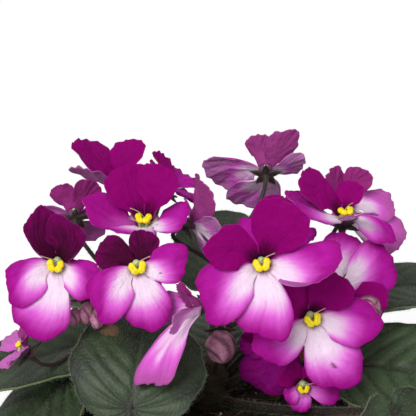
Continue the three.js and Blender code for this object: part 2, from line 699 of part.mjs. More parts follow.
const BLOOMS = [
  {
    name: 'bloom_left_front',
    stalk: 'left',
    at: [-55.5, -42, 158.9], faces: [-8, 12], roll: -5, size: 25,
    petals: {
      right: { length: 0.74, swing: -3 },
      upperRight: { swing: 18, fan: 36, layer: 3.2 },
      upperLeft: { length: 0.88, swing: -15, cup: -10, fan: 34, layer: 0.8 },
      left: { length: 0.84, swing: 18 },
      bottom: { length: 1.13, swing: -11 },
    },
  },
  {
    name: 'bloom_left_centre',
    stalk: 'centre_left',
    at: [-25.9, -47, 159.3], faces: [4, 18], roll: 12, size: 23,
    petals: {
      right: { length: 0.82, swing: 10 },
      upperRight: { length: 0.6, swing: 7, rise: 14, tip: -16, layer: -1.3 },
      upperLeft: { length: 0.7, swing: 12, rise: 14, tip: -16, layer: -2.6 },
      left: { swing: 12 },
      bottom: { length: 1.01, swing: 1 },
    },
  },
  {
    name: 'bloom_left_upper',
    stalk: 'centre_left',
    at: [-24.3, -18, 167.9], faces: [-4, 58], roll: -4, size: 23,
    petals: {
      right: { length: 0.83, swing: 18, rise: 30, tip: 20 },
      upperRight: { length: 0.92, swing: 12, rise: 52, tip: 37, layer: 3.8 },
      upperLeft: { length: 1, swing: -3, rise: 48, tip: 32 },
      left: { swing: -18, rise: 30, tip: 10 },
      bottom: { length: 0.95, swing: -8, rise: 44, tip: 30, layer: 1.3 },
    },
  },
  {
    name: 'bloom_centre',
    stalk: 'centre',
    at: [19.5, -54, 162.5], faces: [-4, 20], roll: 12, size: 26,
    petals: {
      right: { length: 1.19, swing: 7, rise: 34, tip: 16, cup: 10, twist: -50, layer: 0.8 },
      upperRight: { length: 1, swing: -1 },
      upperLeft: { length: 0.83, swing: 17 },
      left: { length: 1.05, swing: 6 },
      bottom: { length: 1.05, swing: -9 },
    },
  },
  {
    name: 'bloom_right_front',
    stalk: 'right',
    at: [38, -46, 139.3], faces: [8, 12], roll: 16, size: 25,
    petals: {
      right: { length: 0.97, swing: -5 },
      upperRight: { length: 0.83, swing: -9 },
      upperLeft: { length: 0.76, swing: -5 },
      left: { length: 0.96, swing: -6 },
      bottom: { length: 1.13, swing: 9 },
    },
  },
  {
    name: 'bloom_right_upper',
    stalk: 'right',
    at: [52.5, -10, 168.1], faces: [10, 72], roll: 8, size: 22,
    petals: {
      right: { length: 0.91, swing: -18, rise: -5, tip: -30 },
      upperRight: { length: 0.59, swing: 4, rise: 55, tip: 45 },
      upperLeft: { length: 1.08, swing: 18, rise: 45, tip: 35 },
      left: { length: 1.24, swing: -13, rise: 34, tip: 26, layer: -0.6 },
      bottom: { length: 0.85, rise: 42, tip: 30, layer: 1.3 },
    },
  },
  {
    name: 'bloom_right_back',
    stalk: 'right',
    at: [55.5, 14, 166], faces: [20, 50], roll: 25, size: 20, pollen: 0.7,
    petals: {
      right: { length: 0.95, swing: -16, rise: 20, tip: -10 },
      upperRight: { length: 0.71, swing: -18, rise: 53, tip: 43, layer: 3.8 },
      upperLeft: { length: 0.86, swing: -18, rise: 50, tip: 40 },
      left: { length: 0.7, rise: 40, tip: 30 },
      bottom: { length: 1.31, swing: 18, rise: 10, tip: -20 },
    },
  },
  {
    name: 'bloom_centre_back',
    stalk: 'centre',
    at: [22.7, 10, 182.5], faces: [178, 36], roll: 0, size: 20,
    petals: {
      right: { length: 1.33, swing: -9, rise: 24, tip: 0 },
      upperRight: { length: 0.64, swing: 13, rise: 40, tip: 20 },
      upperLeft: { length: 0.86, swing: 3, rise: 34, tip: 24, cup: 22, layer: 0.6 },
      left: { length: 0.83, swing: -3, rise: 30, tip: 10, cup: 20 },
      bottom: { length: 1.35, swing: 15, rise: 24, tip: -10, layer: -2.4 },
    },
  },
  {
    name: 'bloom_left_back',
    stalk: 'centre_left', lean: [-160, 55],
    at: [-36.2, 18, 173.2], faces: [-172, 78], roll: 180, size: 20,
    petals: {
      right: { length: 0.85, rise: 42, tip: 30 },
      upperRight: { length: 1, swing: -3, rise: 62, tip: 52, layer: 3.4 },
      upperLeft: { length: 1.3, swing: 11, rise: 58, tip: 44, cup: 6, layer: 0.4 },
      left: { length: 1.1, swing: 16, rise: 30, tip: 20 },
      bottom: { length: 0.6, rise: 10, tip: -30 },
    },
  },
  {
    name: 'bloom_left_far',
    stalk: 'left',
    at: [-51.8, -4, 168.5], faces: [-170, 35], roll: 0, size: 16,
    petals: {
      right: { length: 0.8, rise: 30 },
      upperRight: { length: 0.75, layer: 1.7 },
      upperLeft: { length: 0.9, layer: 0.8 },
      left: { length: 0.8 },
      bottom: { length: 1.35, swing: -18, rise: 26 },
    },
  },
  {
    name: 'bloom_top_back',
    stalk: 'centre_left',
    at: [-15.3, 29, 170.4], faces: [90, 60], roll: 0, size: 18,
    petals: {
      bottom: { length: 0.86, swing: 18, rise: 20, tip: -10 },
    },
  },
  {
    name: 'bloom_low_centre',
    stalk: 'low',
    at: [-4, -55, 146.9], faces: [-62, 0], roll: 0, size: 25, pollen: 0.8,
    petals: {
      right: { length: 0.6, rise: 62, tip: 50, fan: 30, layer: 4.6 },
      upperRight: { length: 0.5, rise: 54, tip: 44, fan: 30, layer: 2.4 },
      upperLeft: { length: 0.42, fan: 32 },
      left: { length: 0.8, fan: 32 },
      bottom: { length: 1.35, swing: 4, rise: 50, tip: 20, cup: 8, twist: -14, fan: 25, layer: 1.3 },
    },
  },
  {
    name: 'bloom_mid',
    stalk: 'centre',
    at: [-5.7, -12, 166.7], faces: [110, 20], roll: 0, size: 22,
    petals: {
      bottom: { length: 0.9 },
    },
  },
  {
    name: 'bloom_right_far',
    stalk: 'right',
    at: [49.6, -25, 143.5], faces: [30, 25], roll: 180, size: 21,
    petals: {
      right: { length: 0.85 },
      upperRight: { length: 0.6 },
      upperLeft: { length: 0.9, swing: 18 },
      left: { length: 1.21, swing: 3 },
      bottom: { swing: -18 },
    },
  },
  {
    name: 'bloom_low_right',
    stalk: 'right', lean: [-40, -10],
    at: [35.7, -40, 110.1], faces: [5, 5], roll: 5, size: 16,
    petals: {
      right: { length: 0.89, swing: 7 },
      left: { length: 0.52, swing: 10 },
      bottom: { length: 0.62, swing: -12 },
    },
  },
  {
    name: 'bloom_low_dark',
    stalk: 'low',
    at: [23.7, -25, 122.3], faces: [-30, -25], roll: 0, size: 20,
    petals: {
      right: { length: 0.75 },
      upperRight: { length: 0.6 },
      upperLeft: { length: 0.6 },
      left: { length: 0.65 },
      bottom: { length: 1.35, swing: -17 },
    },
  },
  {
    name: 'bloom_far_left_low',
    stalk: 'left', lean: [-60, -10],
    at: [-69.3, -42, 126.7], faces: [-75, 50], roll: 0, size: 12.5,
    petals: {
      upperRight: { length: 0.75, layer: 1.7 },
      upperLeft: { layer: 0.8 },
      bottom: { length: 0.93, swing: 14 },
    },
  },
  {
    name: 'bloom_inner',
    stalk: 'centre',
    at: [29.7, -8, 161.6], faces: [0, 60], roll: 0, size: 20,
    petals: {
      right: { length: 0.65, swing: -12 },
      upperLeft: { length: 0.77, swing: -6 },
    },
  },
];

// Each lobe of a bud is [x, y, radius, length, height of its foot] in the bud's own frame.
const BUDS = [
  {
    name: 'buds_left', stalk: 'left', at: [-45, -35, 141], faces: [-10, -60],
    lobes: [[0, 0, 3.2, 9, 0], [-4.2, 1, 2.6, 7, 3], [4.4, 0.5, 3.0, 8, 2.6]],
  },
  {
    name: 'bud_centre', stalk: 'low', at: [4.5, -28, 127], faces: [6, -50],
    lobes: [[0, 0, 6, 13, 0]],
  },
  {
    name: 'bud_right', stalk: 'right', lean: [50, -35], at: [57.5, -37, 138], faces: [25, 35],
    lobes: [[0, 0, 5.2, 12, 0]],
  },
];

const STALKS = [
  { name: 'left', fork: [-32, -12, 130], root: { azimuth: -60, rise: 70, height: 104 } },
  { name: 'centre_left', fork: [-20, 4, 142], root: { azimuth: -130, rise: 75, height: 105 } },
  { name: 'centre', fork: [6, 2, 138], root: { azimuth: 150, rise: 80, height: 105 } },
  { name: 'right', fork: [38, 2, 130], root: { azimuth: 85, rise: 65, height: 104 } },
  { name: 'low', fork: [8, -16, 124], root: { azimuth: 25, rise: 75, height: 104 } },
];

// Assembly.

const plant = new THREE.Group();
plant.name = 'potted_african_violet';
plant.add(meshOf('pot', potSolid(), finish.clay));
plant.add(meshOf('potting_mix', soilSolid(), finish.mix));
plant.add(meshOf('crown', crownSolid(0), finish.stem));

const crownGap = crownSolid(FIT_GAP);
LEAVES.forEach((leaf) => plant.add(meshOf(leaf.name, leafSolid(leaf, crownGap), finish.leaf)));
BLOOMS.forEach((bloom) => {
  plant.add(meshOf(`${bloom.name}_petals`, corollaSolid(bloom), finish.petal));
  plant.add(meshOf(`${bloom.name}_anthers`, antherSolid(bloom), finish.anther));
});
BUDS.forEach((bud) => plant.add(meshOf(bud.name, budSolid(bud), finish.bud)));
STALKS.forEach((stalk) => {
  const own = (list) => list.filter((item) => item.stalk === stalk.name);
  const solid = stalkSolid(stalk, own(BLOOMS), own(BUDS), crownGap);
  plant.add(meshOf(`flower_stalk_${stalk.name}`, solid, finish.stalk));
});

export default plant;
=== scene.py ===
"""Dresses the potted african violet for its photograph.

Every CAD node is replaced by a finer piece of the same form and in the same place: veined and quilted
leaf blades with their fringe of hairs, thin velvety petals with white hearts, lobed anthers beside a green
ovary, hairy stalks with pointed sepals, a turned clay pot and loose potting mix.

Shapes are worked out in millimetres, in the frame of the part, and become metres when a mesh is made.
"""

import logging
import math
from dataclasses import dataclass, field, replace
from enum import Enum
from functools import partial

import bpy
import numpy as np
from bpy.types import Material, Mesh, Node, NodeSocket, NodeTree, Object, bpy_prop_collection
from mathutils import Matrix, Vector


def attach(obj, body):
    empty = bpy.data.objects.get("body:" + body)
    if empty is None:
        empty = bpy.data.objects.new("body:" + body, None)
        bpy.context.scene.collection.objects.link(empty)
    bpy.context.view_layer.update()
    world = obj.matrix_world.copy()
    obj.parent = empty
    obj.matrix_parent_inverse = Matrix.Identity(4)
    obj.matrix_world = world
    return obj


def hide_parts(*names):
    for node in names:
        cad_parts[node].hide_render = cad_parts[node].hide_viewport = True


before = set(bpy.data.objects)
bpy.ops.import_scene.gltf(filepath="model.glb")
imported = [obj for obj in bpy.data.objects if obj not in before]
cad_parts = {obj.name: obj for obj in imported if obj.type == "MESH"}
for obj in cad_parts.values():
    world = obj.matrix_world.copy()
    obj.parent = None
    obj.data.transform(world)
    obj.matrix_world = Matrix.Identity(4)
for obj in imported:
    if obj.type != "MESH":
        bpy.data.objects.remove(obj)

LOG = logging.getLogger("african_violet")
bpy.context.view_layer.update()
MM = 0.001
BODY = "root"
UP = np.array([0.0, 0.0, 1.0])
CROWN_RADIUS = 8.5  # millimetres; the leaves, the flower stalks and the potting mix meet the crown there

Path = np.ndarray
Colour = tuple[float, float, float, float]
Sockets = bpy_prop_collection


# Small mathematics


def heading(azimuth: float, elevation: float) -> np.ndarray:
    """Gives a direction.

    Args:
        azimuth: Degrees round the pot, 0 towards the viewer and 90 to the viewer's right.
        elevation: Degrees above the horizon.

    Returns:
        A vector one long.
    """
    a, e = math.radians(azimuth), math.radians(elevation)
    return np.array([math.sin(a) * math.cos(e), -math.cos(a) * math.cos(e), math.sin(e)])


def eased(share: np.ndarray) -> np.ndarray:
    """Eases a share from 0 to 1, flat at both ends."""
    held = np.clip(share, 0.0, 1.0)
    return held * held * (3.0 - 2.0 * held)


def arc_to(x: np.ndarray, length: float, start: float, turn: np.ndarray) -> tuple[np.ndarray, ...]:
    """Follows an arc.

    Args:
        x: How far along it.
        length: Its whole length.
        start: Its first angle, in radians.
        turn: How much it turns over the whole length, in radians.

    Returns:
        The distance run, the height gained and the angle there.
    """
    bent = np.where(np.abs(turn) < 1e-3, 1e-3, turn)
    angle = start + bent * x / length
    scale = length / bent
    return scale * (np.sin(angle) - np.sin(start)), scale * (np.cos(start) - np.cos(angle)), angle


def bezier(a: np.ndarray, b: np.ndarray, c: np.ndarray, d: np.ndarray, steps: int) -> Path:
    """Gives points along a curve.

    Args:
        a: Where it starts.
        b: What it leaves towards.
        c: What it arrives from.
        d: Where it ends.
        steps: How many steps it takes.

    Returns:
        One row for each point.
    """
    t = np.linspace(0.0, 1.0, steps + 1)[:, None]
    return (1 - t) ** 3 * a + 3 * t * (1 - t) ** 2 * b + 3 * t * t * (1 - t) * c + t**3 * d


def unit(vectors: np.ndarray) -> np.ndarray:
    """Makes vectors one long."""
    return vectors / np.maximum(np.linalg.norm(vectors, axis=-1, keepdims=True), 1e-9)


@dataclass(frozen=True)
class Seat:
    """Where a grown piece sits: a place, and three directions at right angles."""

    at: np.ndarray
    x: np.ndarray
    y: np.ndarray
    z: np.ndarray

    def out(self, x: np.ndarray, y: np.ndarray, z: np.ndarray) -> np.ndarray:
        """Gives points of the piece's own frame in the frame of the part."""
        x, y, z = np.broadcast_arrays(x, y, z)
        return self.at + x[..., None] * self.x + y[..., None] * self.y + z[..., None] * self.z


def flower_seat(at: tuple[float, ...], faces: tuple[float, float], roll: float = 0.0) -> Seat:
    """Gives the frame of a bloom or a bud, +Z the way it faces.

    Args:
        at: The throat, in millimetres.
        faces: The azimuth and elevation it faces.
        roll: Its turn in its own plane, in degrees.

    Returns:
        The seat.
    """
    z = heading(*faces)
    x = unit(np.cross(UP, z))
    y = np.cross(z, x)
    c, s = math.cos(math.radians(roll)), math.sin(math.radians(roll))
    return Seat(np.array(at, float), c * x + s * y, c * y - s * x, z)


# Meshes


@dataclass
class Skin:
    """A closed surface in the making.

    Attributes:
        points: Its points, in millimetres.
        faces: Its faces, as numbers of points.
        marks: Numbers that each point carries for the materials and the hairs.
        flow: Each point's place across and along the piece, in all the skins of a mesh or in none.
        finish: The number of its material.
    """

    points: np.ndarray
    faces: list[tuple[int, ...]]
    marks: dict[str, np.ndarray] = field(default_factory=dict)
    flow: np.ndarray | None = None
    finish: int = 0


def strip_faces(rows: int, columns: int, first: int = 0, closed: bool = False) -> list[tuple[int, ...]]:
    """Gives the faces of a grid of points.

    Args:
        rows: How many rows it has.
        columns: How many points are in a row.
        first: The number of its first point.
        closed: Whether each row is a ring.

    Returns:
        Four-sided faces, which look up where rows run along +X and columns along +Y.
    """
    faces = []
    for i in range(rows - 1):
        for j in range(columns if closed else columns - 1):
            k = (j + 1) % columns
            a, b = first + i * columns, first + (i + 1) * columns
            faces.append((a + j, b + j, b + k, a + k))
    return faces


def backed(faces: list[tuple[int, ...]], edge: list[int], shift: int) -> list[tuple[int, ...]]:
    """Closes a thin sheet.

    Args:
        faces: The faces of its front.
        edge: Its border, anticlockwise seen from the front.
        shift: What is added to a front point's number to give the point behind it.

    Returns:
        The faces of the front, the back and the narrow wall between them.
    """
    behind = [tuple(v + shift for v in reversed(face)) for face in faces]
    wall = [(b, a, a + shift, b + shift) for a, b in zip(edge, edge[1:] + edge[:1])]
    return faces + behind + wall


def sheet_faces(rows: int, columns: int) -> list[tuple[int, ...]]:
    """Gives the faces of a thin sheet whose back points follow its front points in the same order.

    Args:
        rows: How many rows of points its front has.
        columns: How many points are in a row.

    Returns:
        The faces of the front, the back and the narrow wall between them.
    """
    grid = np.arange(rows * columns).reshape(rows, columns)
    edge = [*grid[:, 0], *grid[-1, 1:], *grid[-2::-1, -1], *grid[0, -2:0:-1]]
    return backed(strip_faces(rows, columns), [int(v) for v in edge], rows * columns)


def ring_faces(rings: int, sides: int, clockwise: bool = False) -> list[tuple[int, ...]]:
    """Gives the faces of a closed round body, whose last two points are its low and its high end.

    Args:
        rings: How many rings of points it has, from the low end up.
        sides: How many points are in a ring.
        clockwise: Whether the rings run clockwise seen from the high end.

    Returns:
        The faces, which look outwards.
    """
    faces = strip_faces(rings, sides, closed=True)
    if not clockwise:
        faces = [(a, d, c, b) for a, b, c, d in faces]
    low, high, last = rings * sides, rings * sides + 1, (rings - 1) * sides
    for j in range(sides):
        k = (j + 1) % sides
        a, b = (j, k) if clockwise else (k, j)
        faces += [(low, a, b), (high, last + b, last + a)]
    return faces


def lathe(profile: np.ndarray, sides: int, seat: Seat, finish: int = 0) -> Skin:
    """Turns a profile round its own +Z.

    Args:
        profile: Radius and height of each point, from the lower end on the axis to the upper end on it.
        sides: How many sides the turned piece has.
        seat: Where it stands.
        finish: The number of its material.

    Returns:
        A closed skin.
    """
    turn = np.linspace(0.0, 2.0 * math.pi, sides, endpoint=False)
    radius, height = profile[1:-1, :1], profile[1:-1, 1:]
    rings = seat.out(radius * np.cos(turn), radius * np.sin(turn), height + 0.0 * turn)
    ends = seat.out(np.zeros(2), np.zeros(2), profile[[0, -1], 1])
    points = np.concatenate([rings.reshape(-1, 3), ends])
    return Skin(points, ring_faces(len(profile) - 2, sides), finish=finish)


def skin_of(mesh: Mesh, finish: int = 0) -> Skin:
    """Reads a mesh back as a skin.

    Args:
        mesh: The mesh, in metres.
        finish: The number of its material.

    Returns:
        The same surface, in millimetres.
    """
    points = np.zeros(len(mesh.vertices) * 3)
    mesh.vertices.foreach_get("co", points)
    return Skin(points.reshape(-1, 3) / MM, [tuple(face.vertices) for face in mesh.polygons], finish=finish)


def mesh_of(name: str, skins: list[Skin]) -> Mesh:
    """Joins skins into one mesh.

    Args:
        name: The mesh's name.
        skins: What it is made of.

    Returns:
        The mesh, in metres, with every mark as an attribute.
    """
    starts = np.cumsum([0] + [len(skin.points) for skin in skins])
    points = np.concatenate([skin.points for skin in skins]) * MM
    faces = [tuple(v + int(s) for v in face) for skin, s in zip(skins, starts) for face in skin.faces]
    mesh = bpy.data.meshes.new(name)
    mesh.from_pydata(points.tolist(), [], faces)
    for mark in sorted({key for skin in skins for key in skin.marks}):
        values = [skin.marks.get(mark, np.zeros(len(skin.points))) for skin in skins]
        layer = mesh.attributes.new(mark, "FLOAT", "POINT")
        layer.data.foreach_set("value", np.concatenate(values).astype(np.float32))
    if skins[0].flow is not None:
        flow = [skin.flow for skin in skins]
        loops = np.zeros(len(mesh.loops), np.int32)
        mesh.loops.foreach_get("vertex_index", loops)
        layer = mesh.uv_layers.new(name="flow")
        layer.data.foreach_set("uv", np.concatenate(flow)[loops].astype(np.float32).ravel())
    numbers = np.repeat([skin.finish for skin in skins], [len(skin.faces) for skin in skins])
    mesh.polygons.foreach_set("material_index", numbers.astype(np.int32))
    mesh.polygons.foreach_set("use_smooth", np.ones(len(faces), bool))
    return mesh


def dress(name: str, mesh: Mesh, finishes: list[Material], slot: str,
          *nodes: str) -> None:
    """Puts a finished mesh into the scene in place of its CAD nodes.

    Args:
        name: The piece's name.
        mesh: Its mesh.
        finishes: Its materials, where the mesh has none yet.
        slot: The name of a material slot; not used.
        *nodes: The CAD nodes that it stands for.
    """
    for finish in finishes:
        mesh.materials.append(finish)
    piece = bpy.data.objects.new(name, mesh)
    bpy.context.scene.collection.objects.link(piece)
    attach(piece, BODY)
    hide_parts(*nodes)
    mesh.calc_loop_triangles()
    LOG.info("%s: %d triangles", name, len(mesh.loop_triangles))


# Nodes


def add_node(tree: NodeTree, kind: str, settings: dict | None = None,
             inputs: dict | None = None) -> Node:
    """Adds a node to a tree.

    Args:
        tree: The tree of a material or of Geometry Nodes.
        kind: The node's type.
        settings: Its properties.
        inputs: A value, a socket to link, or a list of sockets, for its inputs by name or number.

    Returns:
        The node.
    """
    node = tree.nodes.new(kind)
    for key, value in (settings or {}).items():
        setattr(node, key, value)
    for key, value in (inputs or {}).items():
        for item in value if isinstance(value, list) else [value]:
            if isinstance(item, NodeSocket):
                tree.links.new(item, node.inputs[key])
            else:
                node.inputs[key].default_value = item
    return node


def linear(code: str) -> Colour:
    """Turns an sRGB colour into Blender's linear light.

    Args:
        code: Six hexadecimal digits.

    Returns:
        Red, green, blue and a full alpha.
    """
    parts = [int(code[i:i + 2], 16) / 255 for i in (0, 2, 4)]
    red, green, blue = (p / 12.92 if p <= 0.04045 else ((p + 0.055) / 1.055) ** 2.4 for p in parts)
    return red, green, blue, 1.0


# Finishes


def start_finish(
        name: str, **sockets: object) -> tuple[Material, NodeTree, Node]:
    """Starts a material.

    Args:
        name: The material's name.
        **sockets: Values for the shader, its inputs named with underlines for spaces.

    Returns:
        The material, its tree and its shader.
    """
    material = bpy.data.materials.new(name)
    material.use_nodes = True
    tree = material.node_tree
    tree.nodes.clear()
    inputs = {key.replace("_", " "): value for key, value in sockets.items()}
    shader = add_node(tree, "ShaderNodeBsdfPrincipled", inputs=inputs)
    add_node(tree, "ShaderNodeOutputMaterial", inputs={"Surface": shader.outputs["BSDF"]})
    return material, tree, shader


@dataclass(frozen=True)
class PetalFinish:
    """African violet petal, grown: a skin of tiny domed cells, which gives the eye velvet, no gloss."""

    name: str = "violet_petal_velvet"
    magenta: str = "b01c9c"
    purple: str = "880066"
    rose: str = "d862ce"
    white: str = "f1d8ee"
    lilac: str = "c280ba"
    maroon: str = "40082a"
    cream: str = "e2dcae"
    cell: float = 0.6  # real cells are 0.03 mm; drawn as coarse as they need to show
    patch: float = 5.0  # the deeper patches and the buckles under them, in millimetres
    streaks: tuple[float, float, float] = (9.0, 1.3, 1.0)  # how they are squeezed across and along a petal
    relief: tuple[float, float, float] = (0.15, 0.9, 2.2)  # of cells, creases and buckles, in millimetres

    def make(self) -> Material:
        """Builds the material.

        Returns:
            The material.
        """
        material, tree, shader = start_finish(
            self.name, Roughness=0.7, Specular_IOR_Level=0.04, Subsurface_Weight=0.3,
            Subsurface_Radius=(1.0, 0.4, 0.9), Subsurface_Scale=1.0 * MM)
        add = partial(add_node, tree)
        mark = {key: add("ShaderNodeAttribute", {"attribute_name": key}).outputs["Fac"]
                for key in ("white", "dark", "back", "deep", "cream")}
        flow = add("ShaderNodeUVMap", {"uv_map": "flow"}).outputs["UV"]
        place = add("ShaderNodeTexCoord").outputs["Object"]
        drawn = add("ShaderNodeMapping", inputs={"Vector": flow, "Scale": self.streaks})
        streak = add("ShaderNodeTexNoise", inputs={
            "Vector": drawn.outputs["Vector"], "Scale": 2.0, "Detail": 4.0,
            "Roughness": 0.6}).outputs["Fac"]
        patch = add("ShaderNodeTexNoise", inputs={
            "Vector": place, "Scale": 1 / (self.patch * MM), "Detail": 3.0}).outputs["Fac"]
        depth = add("ShaderNodeMapRange", inputs={
            "Value": patch, "From Min": 0.35, "From Max": 0.65, "To Min": 0.0, "To Max": 0.35})
        deeper = add("ShaderNodeMath", {"operation": "MAXIMUM"}, {
            0: depth.outputs["Result"], 1: mark["deep"]}).outputs["Value"]
        layers = [(deeper, self.purple), (mark["back"], self.lilac)]
        # The streaks tear the border of the white only, so the dark petals stay even.
        torn = add("ShaderNodeMath", {"operation": "MULTIPLY"}, {0: streak, 1: mark["white"]})
        ragged = add("ShaderNodeMath", {"operation": "MULTIPLY_ADD"}, {
            0: torn.outputs["Value"], 1: 0.5, 2: mark["white"]}).outputs["Value"]
        for colour, least, most in ((self.rose, 0.0, 0.63), (self.white, 0.44, 1.25)):
            pale = add("ShaderNodeMapRange", {"interpolation_type": "SMOOTHSTEP"}, {
                "Value": ragged, "From Min": least, "From Max": most}).outputs["Result"]
            layers.append((pale, colour))
        # Maroon where the dark mark says: darker near the throat, the brown blemishes, and the painted
        # shade on the upper petals of shaded blooms.
        line = add("ShaderNodeMath", {"operation": "MULTIPLY_ADD"}, {
            0: streak, 1: 0.9, 2: mark["dark"]}).outputs["Value"]
        stain_and_painted_shade = add("ShaderNodeMapRange", {"interpolation_type": "SMOOTHSTEP"}, {
            "Value": line, "From Min": 0.55, "From Max": 1.3}).outputs["Result"]
        layers += [(stain_and_painted_shade, self.maroon), (mark["cream"], self.cream)]
        ground = linear(self.magenta)
        for share, colour in layers:
            ground = add("ShaderNodeMix", {"data_type": "RGBA"}, {
                0: share, 6: ground, 7: linear(colour)}).outputs[2]
        tree.links.new(ground, shader.inputs["Base Color"])
        cells = add("ShaderNodeTexVoronoi", inputs={
            "Vector": place, "Scale": 1 / (self.cell * MM)}).outputs["Distance"]
        normal = None
        for height, strength, relief in zip((cells, streak, patch), (0.25, 0.6, 0.6), self.relief):
            inputs = {"Height": height, "Strength": strength, "Distance": relief * MM}
            if normal is not None:
                inputs["Normal"] = normal
            normal = add("ShaderNodeBump", inputs=inputs).outputs["Normal"]
        tree.links.new(normal, shader.inputs["Normal"])
        return material


@dataclass(frozen=True)
class LeafFinish:
    """African violet blade, grown: fleshy and dull under its down, dark between pale ribs and rim, with a
    painted highlight on the swells between the ribs.
    """

    name: str = "violet_leaf_downy"
    shade: str = "0e160a"
    light: str = "344729"
    rib: str = "3a4b2c"
    rim: str = "5e6c46"
    under: str = "56664a"
    scorch: str = "6a5038"
    pebble: float = 1.1  # real domes are finer, about 0.3 mm; drawn as coarse as they need to show

    def make(self) -> Material:
        """Builds the material.

        Returns:
            The material.
        """
        material, tree, shader = start_finish(
            self.name, Roughness=0.52, Specular_IOR_Level=0.4, Sheen_Weight=0.05, Sheen_Roughness=0.4,
            Sheen_Tint=linear("dfe8cf"), Subsurface_Weight=0.08, Subsurface_Radius=(0.4, 1.0, 0.3),
            Subsurface_Scale=0.8 * MM)
        add = partial(add_node, tree)
        mark = {key: add("ShaderNodeAttribute", {"attribute_name": key}).outputs["Fac"]
                for key in ("vein", "rim", "under", "scorch", "raised")}
        place = add("ShaderNodeTexCoord").outputs["Object"]
        broad = add("ShaderNodeTexNoise", inputs={
            "Vector": place, "Scale": 1 / (11 * MM), "Detail": 6.0, "Roughness": 0.6}).outputs["Fac"]
        fine = add("ShaderNodeTexNoise", inputs={
            "Vector": place, "Scale": 1 / (1.4 * MM), "Detail": 3.0}).outputs["Fac"]
        # Painted highlight: the swells between the ribs are painted lighter, on top of the leaf's own
        # mottling.
        lit = add("ShaderNodeMath", {"operation": "MULTIPLY_ADD"}, {
            0: mark["raised"], 1: 0.35, 2: broad}).outputs["Value"]
        share = add("ShaderNodeMapRange", inputs={
            "Value": lit, "From Min": 0.5, "From Max": 0.95}).outputs["Result"]
        drawn = add("ShaderNodeMath", {"operation": "MULTIPLY"}, {
            0: mark["vein"], 1: 0.55}).outputs["Value"]
        dry = add("ShaderNodeMath", {"operation": "MULTIPLY_ADD"}, {
            0: fine, 1: 0.6, 2: mark["scorch"]}).outputs["Value"]
        burnt = add("ShaderNodeMapRange", {"interpolation_type": "SMOOTHSTEP"}, {
            "Value": dry, "From Min": 0.7, "From Max": 1.0}).outputs["Result"]
        ground = linear(self.shade)
        for part, colour in ((share, self.light), (drawn, self.rib), (mark["under"], self.under),
                             (mark["rim"], self.rim), (burnt, self.scorch)):
            ground = add("ShaderNodeMix", {"data_type": "RGBA"}, {
                0: part, 6: ground, 7: linear(colour)}).outputs[2]
        tree.links.new(ground, shader.inputs["Base Color"])
        pebbles = add("ShaderNodeTexVoronoi", {"feature": "SMOOTH_F1"}, {
            "Vector": place, "Scale": 1 / (self.pebble * MM), "Smoothness": 0.6})
        quilt = add("ShaderNodeBump", {"invert": True}, {
            "Height": pebbles.outputs["Distance"], "Strength": 0.5, "Distance": 0.3 * MM})
        grain = add("ShaderNodeBump", inputs={
            "Height": fine, "Strength": 0.4, "Distance": 0.25 * MM, "Normal": quilt.outputs["Normal"]})
        tree.links.new(grain.outputs["Normal"], shader.inputs["Normal"])
        return material


@dataclass(frozen=True)
class MottledFinish:
    """A finish of two or three colours that run into each other, over a grain of a real size.

    Attributes:
        name: What the material is and how its surface was made.
        colours: Its two main colours, and the one of its flecks.
        patch: The size of the patches of colour, in millimetres.
        grain: The size of the grain, in millimetres.
        relief: How high the grain stands, in millimetres.
        fleck: How much of the surface the flecks take, from 0 to 1.
        roughness: The shader's roughness.
        sheen: The shader's sheen.
        glow: How much light goes through the skin.
        mark: A mark of the mesh that is painted with the fleck's colour.
    """

    name: str
    colours: tuple[str, str, str]
    patch: float
    grain: float
    relief: float
    fleck: float = 0.0
    roughness: float = 0.8
    sheen: float = 0.0
    glow: float = 0.0
    mark: str = ""

    def make(self) -> Material:
        """Builds the material.

        Returns:
            The material.
        """
        material, tree, shader = start_finish(
            self.name, Roughness=self.roughness, Specular_IOR_Level=0.35, Sheen_Weight=self.sheen,
            Sheen_Roughness=0.4, Subsurface_Weight=self.glow, Subsurface_Scale=0.8 * MM)
        add = partial(add_node, tree)
        place = add("ShaderNodeTexCoord").outputs["Object"]
        patch = add("ShaderNodeTexNoise", inputs={
            "Vector": place, "Scale": 1 / (self.patch * MM), "Detail": 5.0,
            "Roughness": 0.6}).outputs["Fac"]
        grain = add("ShaderNodeTexNoise", inputs={
            "Vector": place, "Scale": 1 / (self.grain * MM), "Detail": 3.0}).outputs["Fac"]
        share = add("ShaderNodeMapRange", inputs={
            "Value": patch, "From Min": 0.35, "From Max": 0.65}).outputs["Result"]
        first, second, third = self.colours
        layers = [(share, second)]
        if self.fleck:
            speck = add("ShaderNodeMapRange", inputs={
                "Value": grain, "From Min": 0.75 - self.fleck / 2, "From Max": 0.85 - self.fleck / 2})
            layers.append((speck.outputs["Result"], third))
        if self.mark:
            drawn = add("ShaderNodeAttribute", {"attribute_name": self.mark})
            layers.append((drawn.outputs["Fac"], third))
        ground = linear(first)
        for part, colour in layers:
            ground = add("ShaderNodeMix", {"data_type": "RGBA"}, {
                0: part, 6: ground, 7: linear(colour)}).outputs[2]
        tree.links.new(ground, shader.inputs["Base Color"])
        relief = add("ShaderNodeBump", inputs={
            "Height": grain, "Strength": 0.7, "Distance": self.relief * MM})
        tree.links.new(relief.outputs["Normal"], shader.inputs["Normal"])
        return material


# Unglazed clay, fired: matt and chalky, orange where it is dry and darker where water stands behind it.
CLAY = MottledFinish("terracotta_fired_unglazed", ("b06a42", "9c5834", "c99c7c"), 22, 0.9, 0.25, fleck=0.12,
                     roughness=0.9)
# Peat with a little grit, damp: nearly black in the hollows, brown on the crumbs, with pale dry threads.
PEAT = MottledFinish("peat_mix_damp_crumbs", ("1a120c", "33241a", "6b5238"), 6, 1.2, 0.8, fleck=0.1,
                     roughness=0.95)
